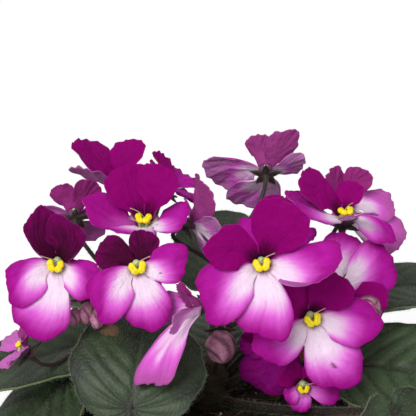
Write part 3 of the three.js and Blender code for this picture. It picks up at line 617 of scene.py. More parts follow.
# Perlite, blown up by heat and sifted: light, white and matt, a little greyer where it is damp.
GRIT = MottledFinish("perlite_expanded_grains", ("d8d4c8", "bdb7a6", "8c8576"), 2, 0.5, 0.3, roughness=0.9)
# A root fibre from the peat, dried: pale straw brown and dull.
THREAD = MottledFinish("peat_thread_dry", ("a08660", "745a3c", "c9b48c"), 3, 0.4, 0.1)
# The crown, grown: a short woody stem ringed with the scars of old leaves.
WOOD = MottledFinish("violet_crown_woody", ("2c281a", "3a3422", "1c180e"), 5, 1.2, 0.5, fleck=0.2)
# Leaf stalks, grown: fleshy, reddish brown above and greener below, under a coat of down.
PETIOLE = MottledFinish("violet_leaf_stalk_downy", ("1e1210", "241f14", "3a2a22"), 7, 0.8, 0.2, fleck=0.08,
                        roughness=0.5, sheen=0.1, glow=0.08)
# Flower stalks and sepals, grown: thin, dark and hairy, which gives the eye a soft dull edge.
STALK = MottledFinish("violet_flower_stalk_downy", ("2c1c20", "3a3428", "5c4644"), 5, 0.6, 0.15, fleck=0.08,
                      roughness=0.5, sheen=0.12, glow=0.08)
# Leaf hairs, grown: clear, so they catch the light as a pale fringe and dull the leaf under them.
DOWN = MottledFinish("plant_hair_clear", ("98a38c", "7c8770", "ffffff"), 4, 0.5, 0.02, roughness=0.35,
                     glow=0.2)
# Hairs of the stalks, sepals, buds and crown, grown: tinged red, which gives a soft dark edge.
RED_DOWN = MottledFinish("plant_hair_reddish", ("6c5754", "544240", "ffffff"), 4, 0.5, 0.02, roughness=0.4,
                         glow=0.2)
# Pollen sacs, grown: smooth, waxy and strong yellow, a little orange where they part.
ANTHER = MottledFinish("anther_waxy_yellow", ("fbe916", "f2d80c", "e2be0e"), 1.5, 0.4, 0.05, roughness=0.4,
                       glow=0.1, mark="seam")
# The ovary and its style: pale green turning pink along the style.
OVARY = MottledFinish("ovary_downy_green", ("c3cf9c", "aebd84", "b0708c"), 1.0, 0.3, 0.1, roughness=0.5,
                      sheen=0.2, glow=0.15, mark="pink")
# Unopened petals, grown: dusty pink outside, with dark magenta where they are rolled over each other.
BUD = MottledFinish("violet_bud_dusty_pink", ("c88ea4", "9c5478", "4a0c3c"), 3, 0.5, 0.2, roughness=0.55,
                    sheen=0.15, glow=0.15, mark="crease")


# Trees of Geometry Nodes


def new_tree(
        name: str, inputs: dict[str, tuple[str, object]]) -> tuple[NodeTree, Sockets]:
    """Starts a tree of Geometry Nodes.

    Args:
        name: The tree's name.
        inputs: The kind and the usual value of each input, by name.

    Returns:
        The tree and the sockets of its inputs, by name.
    """
    tree = bpy.data.node_groups.new(name, "GeometryNodeTree")
    tree.interface.new_socket("Geometry", in_out="INPUT", socket_type="NodeSocketGeometry")
    for key, (kind, value) in inputs.items():
        socket = tree.interface.new_socket(key, in_out="INPUT", socket_type="NodeSocket" + kind)
        if value is not None:
            socket.default_value = value
    tree.interface.new_socket("Geometry", in_out="OUTPUT", socket_type="NodeSocketGeometry")
    return tree, tree.nodes.new("NodeGroupInput").outputs


def random_turn(tree: NodeTree, given: Sockets, lean: str) -> NodeSocket:
    """Adds a random turn to a tree: any way round +Z, and leaning a little to every side.

    Args:
        tree: The tree, with an input "Seed".
        given: The sockets of its inputs.
        lean: The name of the input that says how far a copy leans at most, in radians.

    Returns:
        The socket of the turn.
    """
    low = add_node(tree, "ShaderNodeMath", {"operation": "MULTIPLY"}, {0: given[lean], 1: -1.0})
    least, most = (
        add_node(tree, "ShaderNodeCombineXYZ", inputs={"X": side, "Y": side, "Z": turn}).outputs["Vector"]
        for side, turn in ((low.outputs["Value"], -math.pi), (given[lean], math.pi)))
    return add_node(tree, "FunctionNodeRandomValue", {"data_type": "FLOAT_VECTOR"}, {
        0: least, 1: most, "Seed": given["Seed"]}).outputs[0]


def end_tree(tree: NodeTree, given: Sockets, made: NodeSocket,
             chosen: NodeSocket | None = None) -> NodeTree:
    """Ends a tree: its copies become real and take the material of its input "Finish".

    Args:
        tree: The tree.
        given: The sockets of its inputs.
        made: The socket of what it has made.
        chosen: The socket that says which faces take the material, where not all do.

    Returns:
        The tree.
    """
    real = add_node(tree, "GeometryNodeRealizeInstances", inputs={"Geometry": made})
    inputs = {"Geometry": real.outputs["Geometry"], "Material": given["Finish"]}
    if chosen is not None:
        inputs["Selection"] = chosen
    done = add_node(tree, "GeometryNodeSetMaterial", inputs=inputs)
    add_node(tree, "NodeGroupOutput", inputs={"Geometry": done.outputs["Geometry"]})
    return tree


def run_tree(tree: NodeTree, mesh: Mesh, values: dict[str, object]) -> Mesh:
    """Runs a tree over a mesh.

    Args:
        tree: The tree.
        mesh: What it starts from.
        values: Its inputs, by name.

    Returns:
        What it makes, as a plain mesh.
    """
    carrier = bpy.data.objects.new(mesh.name, mesh)
    bpy.context.scene.collection.objects.link(carrier)
    modifier = carrier.modifiers.new(tree.name, "NODES")
    modifier.node_group = tree
    for item in tree.interface.items_tree:
        if item.in_out == "INPUT" and item.name in values:
            modifier[item.identifier] = values[item.name]
    bpy.context.view_layer.update()
    depsgraph = bpy.context.evaluated_depsgraph_get()
    made = bpy.data.meshes.new_from_object(
        carrier.evaluated_get(depsgraph), preserve_all_data_layers=True, depsgraph=depsgraph)
    bpy.data.objects.remove(carrier)
    kept = [number for number, finish in enumerate(made.materials) if finish is not None]
    numbers = np.zeros(len(made.polygons), np.int32)
    made.polygons.foreach_get("material_index", numbers)
    finishes = [made.materials[number] for number in kept]
    made.materials.clear()
    for finish in finishes:
        made.materials.append(finish)
    places = [kept.index(number) if number in kept else 0 for number in range(max(numbers) + 1)]
    made.polygons.foreach_set("material_index", np.array(places, np.int32)[numbers])
    return made


def stem_tree() -> NodeTree:
    """Builds the tree that grows a round stem along each chain of edges, as thick as its mark "girth".

    Returns:
        The tree.
    """
    tree, given = new_tree("grown_stems", {"Sides": ("Int", 10), "Finish": ("Material", None)})
    add = partial(add_node, tree)
    girth = add("GeometryNodeInputNamedAttribute", {"data_type": "FLOAT"}, {"Name": "girth"})
    path = add("GeometryNodeMeshToCurve", inputs={"Mesh": given["Geometry"]})
    ring = add("GeometryNodeCurvePrimitiveCircle", inputs={"Resolution": given["Sides"], "Radius": 1.0})
    tube = add("GeometryNodeCurveToMesh", inputs={
        "Curve": path.outputs["Curve"], "Profile Curve": ring.outputs["Curve"],
        "Scale": girth.outputs["Attribute"], "Fill Caps": True})
    smooth = add("GeometryNodeSetShadeSmooth", inputs={"Geometry": tube.outputs["Mesh"]})
    return end_tree(tree, given, smooth.outputs["Geometry"])


def down_tree() -> NodeTree:
    """Builds the tree that sets hairs on a mesh, as thickly as its mark "hairy" says.

    Returns:
        The tree.
    """
    tree, given = new_tree("down_of_hairs", {
        "Density": ("Float", 2e6), "Length": ("Float", 2 * MM), "Width": ("Float", 0.1 * MM),
        "Lean": ("Float", 0.6), "Seed": ("Int", 1), "Finish": ("Material", None)})
    add = partial(add_node, tree)
    hairy = add("GeometryNodeInputNamedAttribute", {"data_type": "FLOAT"}, {"Name": "hairy"})
    density = add("ShaderNodeMath", {"operation": "MULTIPLY"}, {
        0: given["Density"], 1: hairy.outputs["Attribute"]})
    spots = add("GeometryNodeDistributePointsOnFaces", inputs={
        "Mesh": given["Geometry"], "Density": density.outputs["Value"],
        "Seed": given["Seed"]})
    turned = add("FunctionNodeRotateRotation", {"rotation_space": "LOCAL"}, {
        "Rotation": spots.outputs["Rotation"], "Rotate By": random_turn(tree, given, "Lean")})
    half = add("ShaderNodeMath", {"operation": "MULTIPLY"}, {0: given["Width"], 1: 0.5})
    hair = add("GeometryNodeMeshCone", {"fill_type": "NGON"}, {
        "Vertices": 3, "Radius Top": 0.0, "Radius Bottom": half.outputs["Value"],
        "Depth": given["Length"]})
    named = add("GeometryNodeStoreNamedAttribute", {"data_type": "BOOLEAN", "domain": "FACE"}, {
        "Geometry": hair.outputs["Mesh"], "Name": "hair", "Value": True})
    size = add("FunctionNodeRandomValue", {"data_type": "FLOAT"}, {2: 0.5, 3: 1.2})
    set_on = add("GeometryNodeInstanceOnPoints", inputs={
        "Points": spots.outputs["Points"], "Instance": named.outputs["Geometry"],
        "Rotation": turned.outputs["Rotation"], "Scale": size.outputs[1]})
    both = add("GeometryNodeJoinGeometry", inputs={
        "Geometry": [given["Geometry"], set_on.outputs["Instances"]]})
    is_hair = add("GeometryNodeInputNamedAttribute", {"data_type": "BOOLEAN"}, {"Name": "hair"})
    return end_tree(tree, given, both.outputs["Geometry"], is_hair.outputs["Attribute"])


def strewn_tree() -> NodeTree:
    """Builds the tree that strews copies of a small shape over the upward faces of a mesh.

    Returns:
        The tree.
    """
    tree, given = new_tree("strewn_crumbs", {
        "Density": ("Float", 1e5), "Shape": ("Object", None), "Least": ("Float", 0.6),
        "Most": ("Float", 1.6), "Tilt": ("Float", 0.5), "Seed": ("Int", 1), "Finish": ("Material", None)})
    add = partial(add_node, tree)
    normal = add("GeometryNodeInputNormal")
    parts = add("ShaderNodeSeparateXYZ", inputs={"Vector": normal.outputs["Normal"]})
    upward = add("FunctionNodeCompare", {"data_type": "FLOAT", "operation": "GREATER_THAN"}, {
        0: parts.outputs["Z"], 1: 0.5})
    spots = add("GeometryNodeDistributePointsOnFaces", inputs={
        "Mesh": given["Geometry"], "Selection": upward.outputs["Result"],
        "Density": given["Density"], "Seed": given["Seed"]})
    size = add("FunctionNodeRandomValue", {"data_type": "FLOAT"}, {
        2: given["Least"], 3: given["Most"], "Seed": given["Seed"]})
    shape = add("GeometryNodeObjectInfo", inputs={"Object": given["Shape"]})
    set_on = add("GeometryNodeInstanceOnPoints", inputs={
        "Points": spots.outputs["Points"], "Instance": shape.outputs["Geometry"],
        "Rotation": random_turn(tree, given, "Tilt"), "Scale": size.outputs[1]})
    return end_tree(tree, given, set_on.outputs["Instances"])


def pot_tree() -> NodeTree:
    """Builds the tree that turns the pot from its profile and drills its drainage holes.

    Returns:
        The tree.
    """
    tree, given = new_tree("turned_and_drilled_pot", {
        "Sides": ("Int", 128), "Holes": ("Int", 5), "Hole circle": ("Float", 23 * MM),
        "Hole radius": ("Float", 4 * MM), "Floor": ("Float", 4 * MM), "Finish": ("Material", None)})
    add = partial(add_node, tree)
    line = add("GeometryNodeMeshToCurve", inputs={"Mesh": given["Geometry"]})
    axis = add("GeometryNodeCurvePrimitiveCircle", inputs={"Resolution": given["Sides"], "Radius": 1e-6})
    turned = add("GeometryNodeCurveToMesh", inputs={
        "Curve": axis.outputs["Curve"], "Profile Curve": line.outputs["Curve"]})
    shut = add("GeometryNodeMergeByDistance", inputs={
        "Geometry": turned.outputs["Mesh"], "Distance": 0.01 * MM})
    ring = add("GeometryNodeMeshCircle", inputs={
        "Vertices": given["Holes"], "Radius": given["Hole circle"]})
    deep = add("ShaderNodeMath", {"operation": "MULTIPLY"}, {0: given["Floor"], 1: 3.0})
    drill = add("GeometryNodeMeshCylinder", inputs={
        "Vertices": 32, "Radius": given["Hole radius"], "Depth": deep.outputs["Value"]})
    drills = add("GeometryNodeInstanceOnPoints", inputs={
        "Points": ring.outputs["Mesh"], "Instance": drill.outputs["Mesh"]})
    solid = add("GeometryNodeRealizeInstances", inputs={"Geometry": drills.outputs["Instances"]})
    drilled = add("GeometryNodeMeshBoolean", {"operation": "DIFFERENCE", "solver": "EXACT"}, {
        "Mesh 1": shut.outputs["Geometry"], "Mesh 2": [solid.outputs["Geometry"]]})
    smooth = add("GeometryNodeSetShadeSmooth", inputs={"Geometry": drilled.outputs["Mesh"]})
    return end_tree(tree, given, smooth.outputs["Geometry"])


class Grower:
    """Holds the trees and the materials, and runs the trees over the plant's meshes."""

    def __init__(self) -> None:
        """Builds every tree and every material once."""
        self.stems = stem_tree()
        self.down = down_tree()
        self.strewn = strewn_tree()
        self.pot = pot_tree()
        self.petal = PetalFinish().make()
        self.leaf = LeafFinish().make()
        self.made = {finish: finish.make() for finish in (
            CLAY, PEAT, GRIT, THREAD, WOOD, PETIOLE, STALK, DOWN, RED_DOWN, ANTHER, OVARY, BUD)}

    def stem_skin(self, chains: list[tuple[Path, np.ndarray]], finish: int, sides: int = 10) -> Skin:
        """Grows round stems.

        Args:
            chains: The points and the radii of each stem, in millimetres.
            finish: The number of their material.
            sides: How many sides they have.

        Returns:
            All of them as one skin.
        """
        mesh = bpy.data.meshes.new("stem_paths")
        edges, start = [], 0
        for path, _ in chains:
            edges += [(start + i, start + i + 1) for i in range(len(path) - 1)]
            start += len(path)
        mesh.from_pydata((np.concatenate([path for path, _ in chains]) * MM).tolist(), edges, [])
        radii = np.concatenate([radius for _, radius in chains]) * MM
        mesh.attributes.new("girth", "FLOAT", "POINT").data.foreach_set("value", radii.astype(np.float32))
        skin = skin_of(run_tree(self.stems, mesh, {"Sides": sides}), finish)
        skin.marks["hairy"] = np.ones(len(skin.points))
        return skin

    def hairs(self, name: str, mesh: Mesh, finishes: list[Material],
              **values: object) -> Mesh:
        """Sets hairs on a mesh.

        Args:
            name: The name of what it makes.
            mesh: The bare mesh.
            finishes: Its materials; the last one is the hairs'.
            **values: The inputs of the tree of hairs.

        Returns:
            The mesh with its hairs.
        """
        for finish in finishes[:-1]:
            mesh.materials.append(finish)
        made = run_tree(self.down, mesh, {**values, "Finish": finishes[-1]})
        made.name = name
        return made


# Leaves


@dataclass(frozen=True)
class Leaf:
    """One leaf, in the CAD's terms, in millimetres and degrees.

    Attributes:
        joint: The top of its stalk, where the blade begins.
        azimuth: The way its blade points; pitch and roll say how it rises and leans there.
        fold: How high its halves rise from the midrib.
        curl: How far its borders roll down again.
        droop: How far the blade bends down from its foot to its tip.
        wave: The height of the waves of its border, which begin at phase, in radians.
        root: Where its stalk leaves the crown: the azimuth, the rise and the height.
        arrive: The azimuth and rise at the stalk's top, where they aren't the blade's own.
        scorch: A brown patch: its place along and across the blade, and its size.
        quilt: How high the blade swells between its ribs, and how strongly the swells are painted lighter
            as a highlight.
    """

    name: str
    joint: tuple[float, float, float]
    azimuth: float
    pitch: float
    roll: float
    length: float
    width: float
    fold: float
    curl: float
    droop: float
    wave: float
    phase: float
    root: tuple[float, float, float]
    arrive: tuple[float, float] | None = None
    scorch: tuple[float, float, float] | None = None
    quilt: float = 0.6


@dataclass(frozen=True)
class Rosette:
    """The leaves round the crown, in millimetres, radians and shares of the blade."""

    thickness: float = 0.8
    stalk_radius: float = 2.1
    scallops: int = 12
    scallop_depth: float = 0.045
    notch: tuple[float, float] = (0.66, 0.42)  # its depth as a share, its width in radians
    rib_spacing: float = 0.15
    rib_lean: float = 0.55  # how far a rib runs forward for each step outwards
    rib_fan: float = 0.42  # the angle between the ribs at the blade's foot, in radians
    rings: int = 28
    spokes: int = 144

    def reach(self, leaf: Leaf, angle: np.ndarray) -> np.ndarray:
        """Gives how far the blade's edge is from the top of its stalk.

        Args:
            leaf: The leaf.
            angle: The direction from the tip, in radians.

        Returns:
            The distance in each direction.
        """
        centre, long, wide = 0.4 * leaf.length, 0.6 * leaf.length, 0.5 * leaf.width
        ahead, aside = np.cos(angle), np.sin(angle)
        # The ray from the stalk's top meets an ellipse round the blade's centre: a quadratic equation.
        squared = (ahead / long) ** 2 + (aside / wide) ** 2
        linear_part = centre * ahead / long**2
        constant = (centre / long) ** 2 - 1
        oval = (linear_part + np.sqrt(linear_part * linear_part - squared * constant)) / squared
        depth, width = self.notch
        notch = 1 - depth * np.exp(-(((math.pi - np.abs(angle)) / width) ** 2))
        pointed = 1 + 0.05 * np.exp(-((angle / 0.25) ** 2))
        return oval * notch * pointed

    def surface(self, leaf: Leaf, x: np.ndarray, y: np.ndarray, edge: np.ndarray) -> np.ndarray:
        """Gives points of the smooth blade in its own frame.

        Args:
            leaf: The leaf.
            x: Places along the midrib.
            y: Places across it.
            edge: How far out they are, 1 at the edge.

        Returns:
            The points.
        """
        across = np.abs(y) / (0.5 * leaf.width)
        rise = leaf.fold * (np.sqrt(across**2 + 0.01) - 0.1) - leaf.curl * across**3
        wave = leaf.wave * edge**3 * np.sin(3 * np.arctan2(y, x) + leaf.phase)
        run, height, angle = arc_to(x, leaf.length, 0.0, np.array(-math.radians(leaf.droop)))
        lift = rise + wave
        return np.stack([run - np.sin(angle) * lift, y + 0 * lift, height + np.cos(angle) * lift], -1)

    def seat(self, leaf: Leaf) -> Seat:
        """Gives the blade's own frame.

        Args:
            leaf: The leaf.

        Returns:
            The seat at the top of its stalk, +X to its tip and +Z out of its upper side.
        """
        x = heading(leaf.azimuth, leaf.pitch)
        y = unit(np.cross(UP, x))
        z = np.cross(x, y)
        c, s = math.cos(math.radians(leaf.roll)), math.sin(math.radians(leaf.roll))
        return Seat(np.array(leaf.joint, float), x, c * y + s * z, c * z - s * y)

    def ribs(self, leaf: Leaf, x: np.ndarray, y: np.ndarray) -> tuple[np.ndarray, np.ndarray]:
        """Gives the pattern of the ribs, which leave the midrib on both sides and fan out at its foot.

        Args:
            leaf: The leaf.
            x: Places along the midrib.
            y: Places across it.

        Returns:
            How near a rib each place is, and how high the blade swells between ribs, both from 0 to 1.
        """
        spacing = self.rib_spacing * leaf.length
        straight = x - 0.9 * y * y / leaf.width
        ahead = straight - self.rib_lean * np.abs(y)
        fan = np.arctan2(np.abs(y), straight) - math.atan2(1.0, self.rib_lean)
        count = np.where(ahead >= 0, ahead / spacing, -fan / self.rib_fan)
        off = np.abs(count - np.round(count))
        spread = np.where(ahead >= 0, spacing * 0.88, self.rib_fan * np.hypot(x, y))
        rib = np.exp(-((off * spread / 0.55) ** 2))
        midrib = np.exp(-((y / 0.8) ** 2)) * (x > 0)
        swell = np.sin(math.pi * off) ** 0.8 * eased(np.abs(y) / 3.0)
        return np.maximum(rib * eased(np.hypot(x, y) / 5.0), midrib), swell

    def blade(self, leaf: Leaf) -> Skin:
        """Builds the blade.

        Args:
            leaf: The leaf.

        Returns:
            A closed thin skin, quilted between its ribs.
        """
        shares = np.append(np.linspace(0.0, 0.965, self.rings - 1)[1:], [0.985, 1.0])
        angles = np.linspace(-math.pi, math.pi, self.spokes, endpoint=False)
        edge, angle = np.meshgrid(shares, angles, indexing="ij")
        teeth = 0.5 - 0.5 * np.cos(self.scallops * angle)
        small = 0.006 * np.sin(37 * angle + leaf.phase)
        scallop = 1 - (self.scallop_depth * teeth**1.6 - small) * eased((edge - 0.6) / 0.4)
        out = self.reach(leaf, angle) * edge * scallop
        x = np.append(0.0, (out * np.cos(angle)).ravel())
        y = np.append(0.0, (out * np.sin(angle)).ravel())
        edge = np.append(0.0, edge.ravel())
        smooth = self.surface(leaf, x, y, edge)
        tiny = 0.05
        along = self.surface(leaf, x + tiny, y, edge) - self.surface(leaf, x - tiny, y, edge)
        across = self.surface(leaf, x, y + tiny, edge) - self.surface(leaf, x, y - tiny, edge)
        normal = unit(np.cross(along, across))
        rib, swell = self.ribs(leaf, x, y)
        fade = (1 - edge**5) * eased(np.hypot(x, y) / 6.0)
        lift = leaf.quilt * fade * (swell - 0.35)
        top = smooth + normal * lift[:, None]
        under = smooth + normal * (lift - self.thickness - 0.5 * rib * fade)[:, None]
        count = len(x)
        faces = [(0, 1 + j, 1 + (j + 1) % self.spokes) for j in range(self.spokes)]
        faces += strip_faces(len(shares), self.spokes, first=1, closed=True)
        rim = [count - self.spokes + j for j in range(self.spokes)]
        border = eased((edge - 0.985) / 0.015)
        # The swells between the ribs carry a painted highlight, stronger on a more quilted blade.
        marks = {"vein": np.tile(rib * fade, 2), "raised": np.tile(swell * fade * (0.4 + leaf.quilt), 2),
                 "rim": np.tile(border, 2), "under": np.repeat([0.0, 1.0], count),
                 "hairy": np.concatenate([0.5 + 4.5 * border, 0.3 + 2.5 * border])}
        if leaf.scorch is not None:
            cx, cy, size = leaf.scorch
            marks["scorch"] = np.tile(np.exp(-((x - cx) ** 2 + (y - cy) ** 2) / size**2), 2)
        seat = self.seat(leaf)
        points = np.concatenate([top, under])
        return Skin(seat.out(*points.T), backed(faces, rim, count), marks)

    def stalk(self, leaf: Leaf) -> tuple[Path, np.ndarray]:
        """Gives the leaf's stalk, from inside the crown to under the blade.

        Args:
            leaf: The leaf.

        Returns:
            The points of its path and its radius at each.
        """
        seat = self.seat(leaf)
        azimuth, rise, height = leaf.root
        start = heading(azimuth, 0) * (CROWN_RADIUS - 1.0)
        start[2] = height
        reach = float(np.linalg.norm(seat.at - start))
        along = heading(*(leaf.arrive or (leaf.azimuth, 0.3 * leaf.pitch)))
        below = seat.at - 0.5 * self.stalk_radius * seat.z
        path = bezier(start, start + heading(azimuth, rise) * 0.4 * reach, below - along * 0.35 * reach,
                      below, 20)
        shares = np.array([0.08, 0.16, 0.24, 0.32])
        thin = self.stalk_radius * np.array([0.7, 0.6, 0.45, 0.25])
        foot = self.surface(leaf, shares * leaf.length, 0 * shares, 0 * shares)
        slope = -np.radians(leaf.droop) * shares
        deep = self.thickness + 0.5 * thin
        foot += np.stack([np.sin(slope) * deep, 0 * deep, -np.cos(slope) * deep], -1)
        radii = self.stalk_radius * (1 - 0.2 * np.linspace(0, 1, 21))
        return np.concatenate([path, seat.out(*foot.T)]), np.append(radii, thin)

    def build(self, leaf: Leaf, grower: Grower, seed: int) -> None:
        """Builds one leaf with its hairs and puts it in its node's place.

        Args:
            leaf: The leaf.
            grower: The trees and the materials.
            seed: The seed of its hairs.
        """
        skins = [self.blade(leaf), grower.stem_skin([self.stalk(leaf)], 1, sides=14)]
        bare = mesh_of(leaf.name + "_bare", skins)
        finishes = [grower.leaf, grower.made[PETIOLE], grower.made[DOWN]]
        mesh = grower.hairs(leaf.name + "_mesh", bare, finishes, Density=1.5e6, Length=1.3 * MM,
                            Width=0.06 * MM, Lean=0.6, Seed=seed)
        dress(leaf.name + "_blade", mesh, [], "leaf", leaf.name)


# Blooms


class Side(Enum):
    """Where a petal stands round the face of its bloom, anticlockwise from the lower right."""

    RIGHT = 0
    UPPER_RIGHT = 1
    UPPER_LEFT = 2
    LEFT = 3
    BOTTOM = 4


RIGHT, UPPER_RIGHT, UPPER_LEFT, LEFT, BOTTOM = Side
UPPER_SIDES = (UPPER_LEFT, UPPER_RIGHT)


@dataclass(frozen=True)
class Petal:
    """How one petal spreads, rises, bends and ripples, in the CAD's terms, in millimetres and degrees.

    Attributes:
        length: Its reach, as a share of the bloom's size.
        fan: How far it spreads to each side of its middle.
        rise: How steeply it leaves the throat; tip says how steeply it lies at its border.
        cup: How far it bends across.
        twist: How far it turns about its own length.
        swing: How far it turns aside in the bloom's face.
        layer: How far it stands in front of the others.
        wave: The height of the slow ripple of its border, which begins at phase, in radians.
        furrow: The depth of the furrow along its middle.
        crimp: The height of the small folds of its border, which begin at ruffle, in radians.
        point: How far a blunt point stands out, as a share; towards says how far across, -1 to 1.
    """

    length: float = 1.0
    fan: float = 39.0
    rise: float = 32.0
    tip: float = -6.0
    cup: float = -5.0
    twist: float = 0.0
    swing: float = 0.0
    layer: float = 0.0
    wave: float = 0.4
    phase: float = 0.0
    furrow: float = 0.5
    ruffle: float = 0.0
    crimp: float = 0.22
    point: float = 0.0
    towards: float = 0.0


# What the two upper petals share, and how each petal stands where its bloom says nothing else.
UPPER = Petal(length=0.82, rise=38, tip=12, wave=0.3, furrow=0.2)
USUAL = {
    RIGHT: Petal(phase=4.1),
    UPPER_RIGHT: replace(UPPER, cup=4, layer=2.6, phase=2.4),
    UPPER_LEFT: replace(UPPER, cup=-4, layer=1.2, phase=0.6),
    LEFT: Petal(phase=1.2),
    BOTTOM: Petal(length=1.08, rise=30, tip=-14, cup=-16, layer=-1.3, phase=0.0),
}


@dataclass(frozen=True)
class Bloom:
    """One open bloom, in the CAD's terms, in millimetres and degrees.

    Attributes:
        at: Its throat.
        faces: The azimuth and elevation that it faces, turned by roll in its own plane.
        size: The usual reach of its petals.
        lean: The azimuth and elevation in which its pedicel leaves the fork.
        petals: What is different in each of its petals.
        heart: How white its heart is, from 0 to 1.
        faded: How lilac the fronts of its lower petals are, from 0 to 1.
        backs: How lilac the backs of its lower petals are, from 0 to 1.
        painted_shade: How far its upper petals are darkened to maroon as painted shade, from 0 to 1.
        crimp: How high the small folds of its borders stand.
        blemish: A brown spot: the petal, how far out and across, and its size as a share of the petal.
        flare: The radius of the rim where its petals are joined.
        band: How white the middle of its bottom petal is.
        plain: The lower petals that are nearly as dark as the upper two.
        points: The petals that run to a blunt point: how far it stands out, and how far across it lies.
        pollen: How full its anthers are, from 0 to 1.
        depth: How far its sepals stand behind its throat.
        star: The reach of its sepals and how far they bend forward.
    """

    name: str
    stalk: str
    at: tuple[float, float, float]
    faces: tuple[float, float]
    roll: float
    size: float
    lean: tuple[float, float] = (0, 90)
    petals: dict[Side, dict[str, float]] = field(default_factory=dict)
    heart: float = 1.0
    faded: float = 0.0
    backs: float = 0.8
    painted_shade: float = 0.0
    crimp: float = 0.22
    blemish: tuple[Side, float, float, float] | None = None
    flare: float = 2.7
    band: float = 0.0
    plain: tuple[Side, ...] = ()
    points: dict[Side, tuple[float, float]] = field(default_factory=dict)
    pollen: float = 1.0
    depth: float = 3.4
    star: tuple[float, float] = (6.6, 0.5)


@dataclass(frozen=True)
class Corolla:
    """A bloom's joined petals, its throat, and the anthers (two sacs each) and ovary that stand in it."""

    throat_radius: float = 2.4
    usual_flare: float = 2.7
    thickness: float = 0.45
    thinning: float = 0.35
    joined_fan: float = 36.2
    joined_share: float = 0.4
    tip_rounding: float = 0.5
    first_turn: float = -18.0
    turn_step: float = 72.0
    rows: int = 20
    columns: int = 26
    throat_sides: int = 30
    full_size: float = 23.0  # a bloom of this size or more has full-grown anthers
    sac: tuple[float, float, float] = (1.55, 2.5, 1.4)  # half an anther's width, length and height
    sac_at: tuple[float, float, float] = (1.6, -0.5, 3.2)  # its middle: to its side, up and forward
    sac_turn: float = 22.0
    sac_bend: float = 0.05
    sac_rings: int = 12
    sac_sides: int = 20
    ovary: tuple[float, float] = (1.5, 1.75)  # its radius and half its length

    def surface(self, petal: Petal, turn: float, size: float, s: np.ndarray, t: np.ndarray) -> np.ndarray:
        """Gives points of a petal's front in the bloom's frame.

        Args:
            petal: The petal.
            turn: Its direction round the face, in degrees.
            size: The bloom's size.
            s: How far out each point is, 0 at the throat and 1 at the edge.
            t: How far across, -1 to 1.

        Returns:
            The points.
        """
        full = petal.length * size
        free = eased((s - self.joined_share) / (1 - self.joined_share))
        angle = np.radians(t * (self.joined_fan + (petal.fan - self.joined_fan) * free))
        small = petal.phase + petal.ruffle
        wavy = 1 + 0.012 * np.sin(5.3 * math.pi * t + small)
        wavy = wavy + 0.007 * np.sin(11 * math.pi * t + 2 * small)
        point = petal.point * (np.exp(-(((t - petal.towards) / 0.3) ** 2)) - 0.3)
        reach = full * (1 - self.tip_rounding * t**4 + point) * wavy
        radius = self.throat_radius + s * (reach - self.throat_radius)
        x = radius * np.cos(angle)
        rise, tip = math.radians(petal.rise), math.radians(petal.tip)
        run, height, slope = arc_to(x - self.throat_radius, full, rise, np.array(tip - rise))
        narrowed = (self.throat_radius + run) / x
        y = radius * np.sin(angle) * (narrowed + (1 - narrowed) * free)
        bent, curl, _ = arc_to(np.abs(y), 0.5 * full, 0.0, np.radians(petal.cup * s))
        ripple = petal.wave * s * s * np.sin(2.5 * math.pi * t + petal.phase)
        crinkle = petal.crimp * s**3 * np.sin(6.5 * math.pi * t + 3 * small + 2 * s)
        furrow = petal.furrow * np.exp(-((t / 0.14) ** 2)) * eased((s - 0.1) / 0.3) * (1 - s**4)
        across, lift = np.sign(y) * bent, curl + ripple + crinkle - furrow
        twist = np.radians(petal.twist) * free
        side = across * np.cos(twist) - lift * np.sin(twist)
        rise_up = across * np.sin(twist) + lift * np.cos(twist)
        out = self.throat_radius + run - np.sin(slope) * rise_up
        z = height + np.cos(slope) * rise_up + petal.layer * eased(s / self.joined_share)
        turned = np.radians(turn + petal.swing * free)
        return np.stack([out * np.cos(turned) - side * np.sin(turned),
                         out * np.sin(turned) + side * np.cos(turned), z], -1)

    def white(self, side: Side, s: np.ndarray, t: np.ndarray) -> np.ndarray:
        """Gives how white a petal is.

        Args:
            side: Where the petal stands.
            s: How far out.
            t: How far across.

        Returns:
            From 0 to 1.
        """
        if side is BOTTOM:
            return eased((1.02 - s + 0.2 * t * t) / 0.75)
        if side in UPPER_SIDES:
            return 0.0 * s
        towards_bottom = -t if side is RIGHT else t
        return eased((0.88 + 0.34 * towards_bottom - s) / 0.8)

    def petal_skin(self, side: Side, bloom: Bloom, seat: Seat) -> Skin:
        """Builds one petal.

        Args:
            side: Where it stands.
            bloom: Its bloom.
            seat: The bloom's frame.

        Returns:
            A closed thin skin.
        """
        own = {**bloom.petals.get(side, {}), "ruffle": 0.4 * bloom.at[0], "crimp": bloom.crimp}
        point, towards = bloom.points.get(side, (0.0, 0.0))
        petal = replace(USUAL[side], point=point, towards=towards, **own)
        turn = self.first_turn + side.value * self.turn_step
        lines = np.append(np.linspace(0.0, 0.97, self.rows - 1), 1.0)
        places = np.concatenate([[-1.0], np.linspace(-0.97, 0.97, self.columns - 2), [1.0]])
        s, t = np.meshgrid(lines, places, indexing="ij")
        tiny = 0.004
        front, ahead, behind, over, under = (
            self.surface(petal, turn, bloom.size, s + out * tiny, t + across * tiny)
            for out, across in ((0, 0), (1, 0), (-1, 0), (0, 1), (0, -1)))
        normal = unit(np.cross(ahead - behind, over - under))
        back = front - normal * (self.thickness * (1 - self.thinning * s**4))[..., None]
        marks = self.petal_marks(side, bloom, s, t)
        flow = np.stack([t.ravel() * 0.5 + 2 * side.value + bloom.size, s.ravel()], -1)
        points = np.concatenate([front.reshape(-1, 3), back.reshape(-1, 3)])
        return Skin(seat.out(*points.T), sheet_faces(*s.shape), marks, np.tile(flow, (2, 1)))

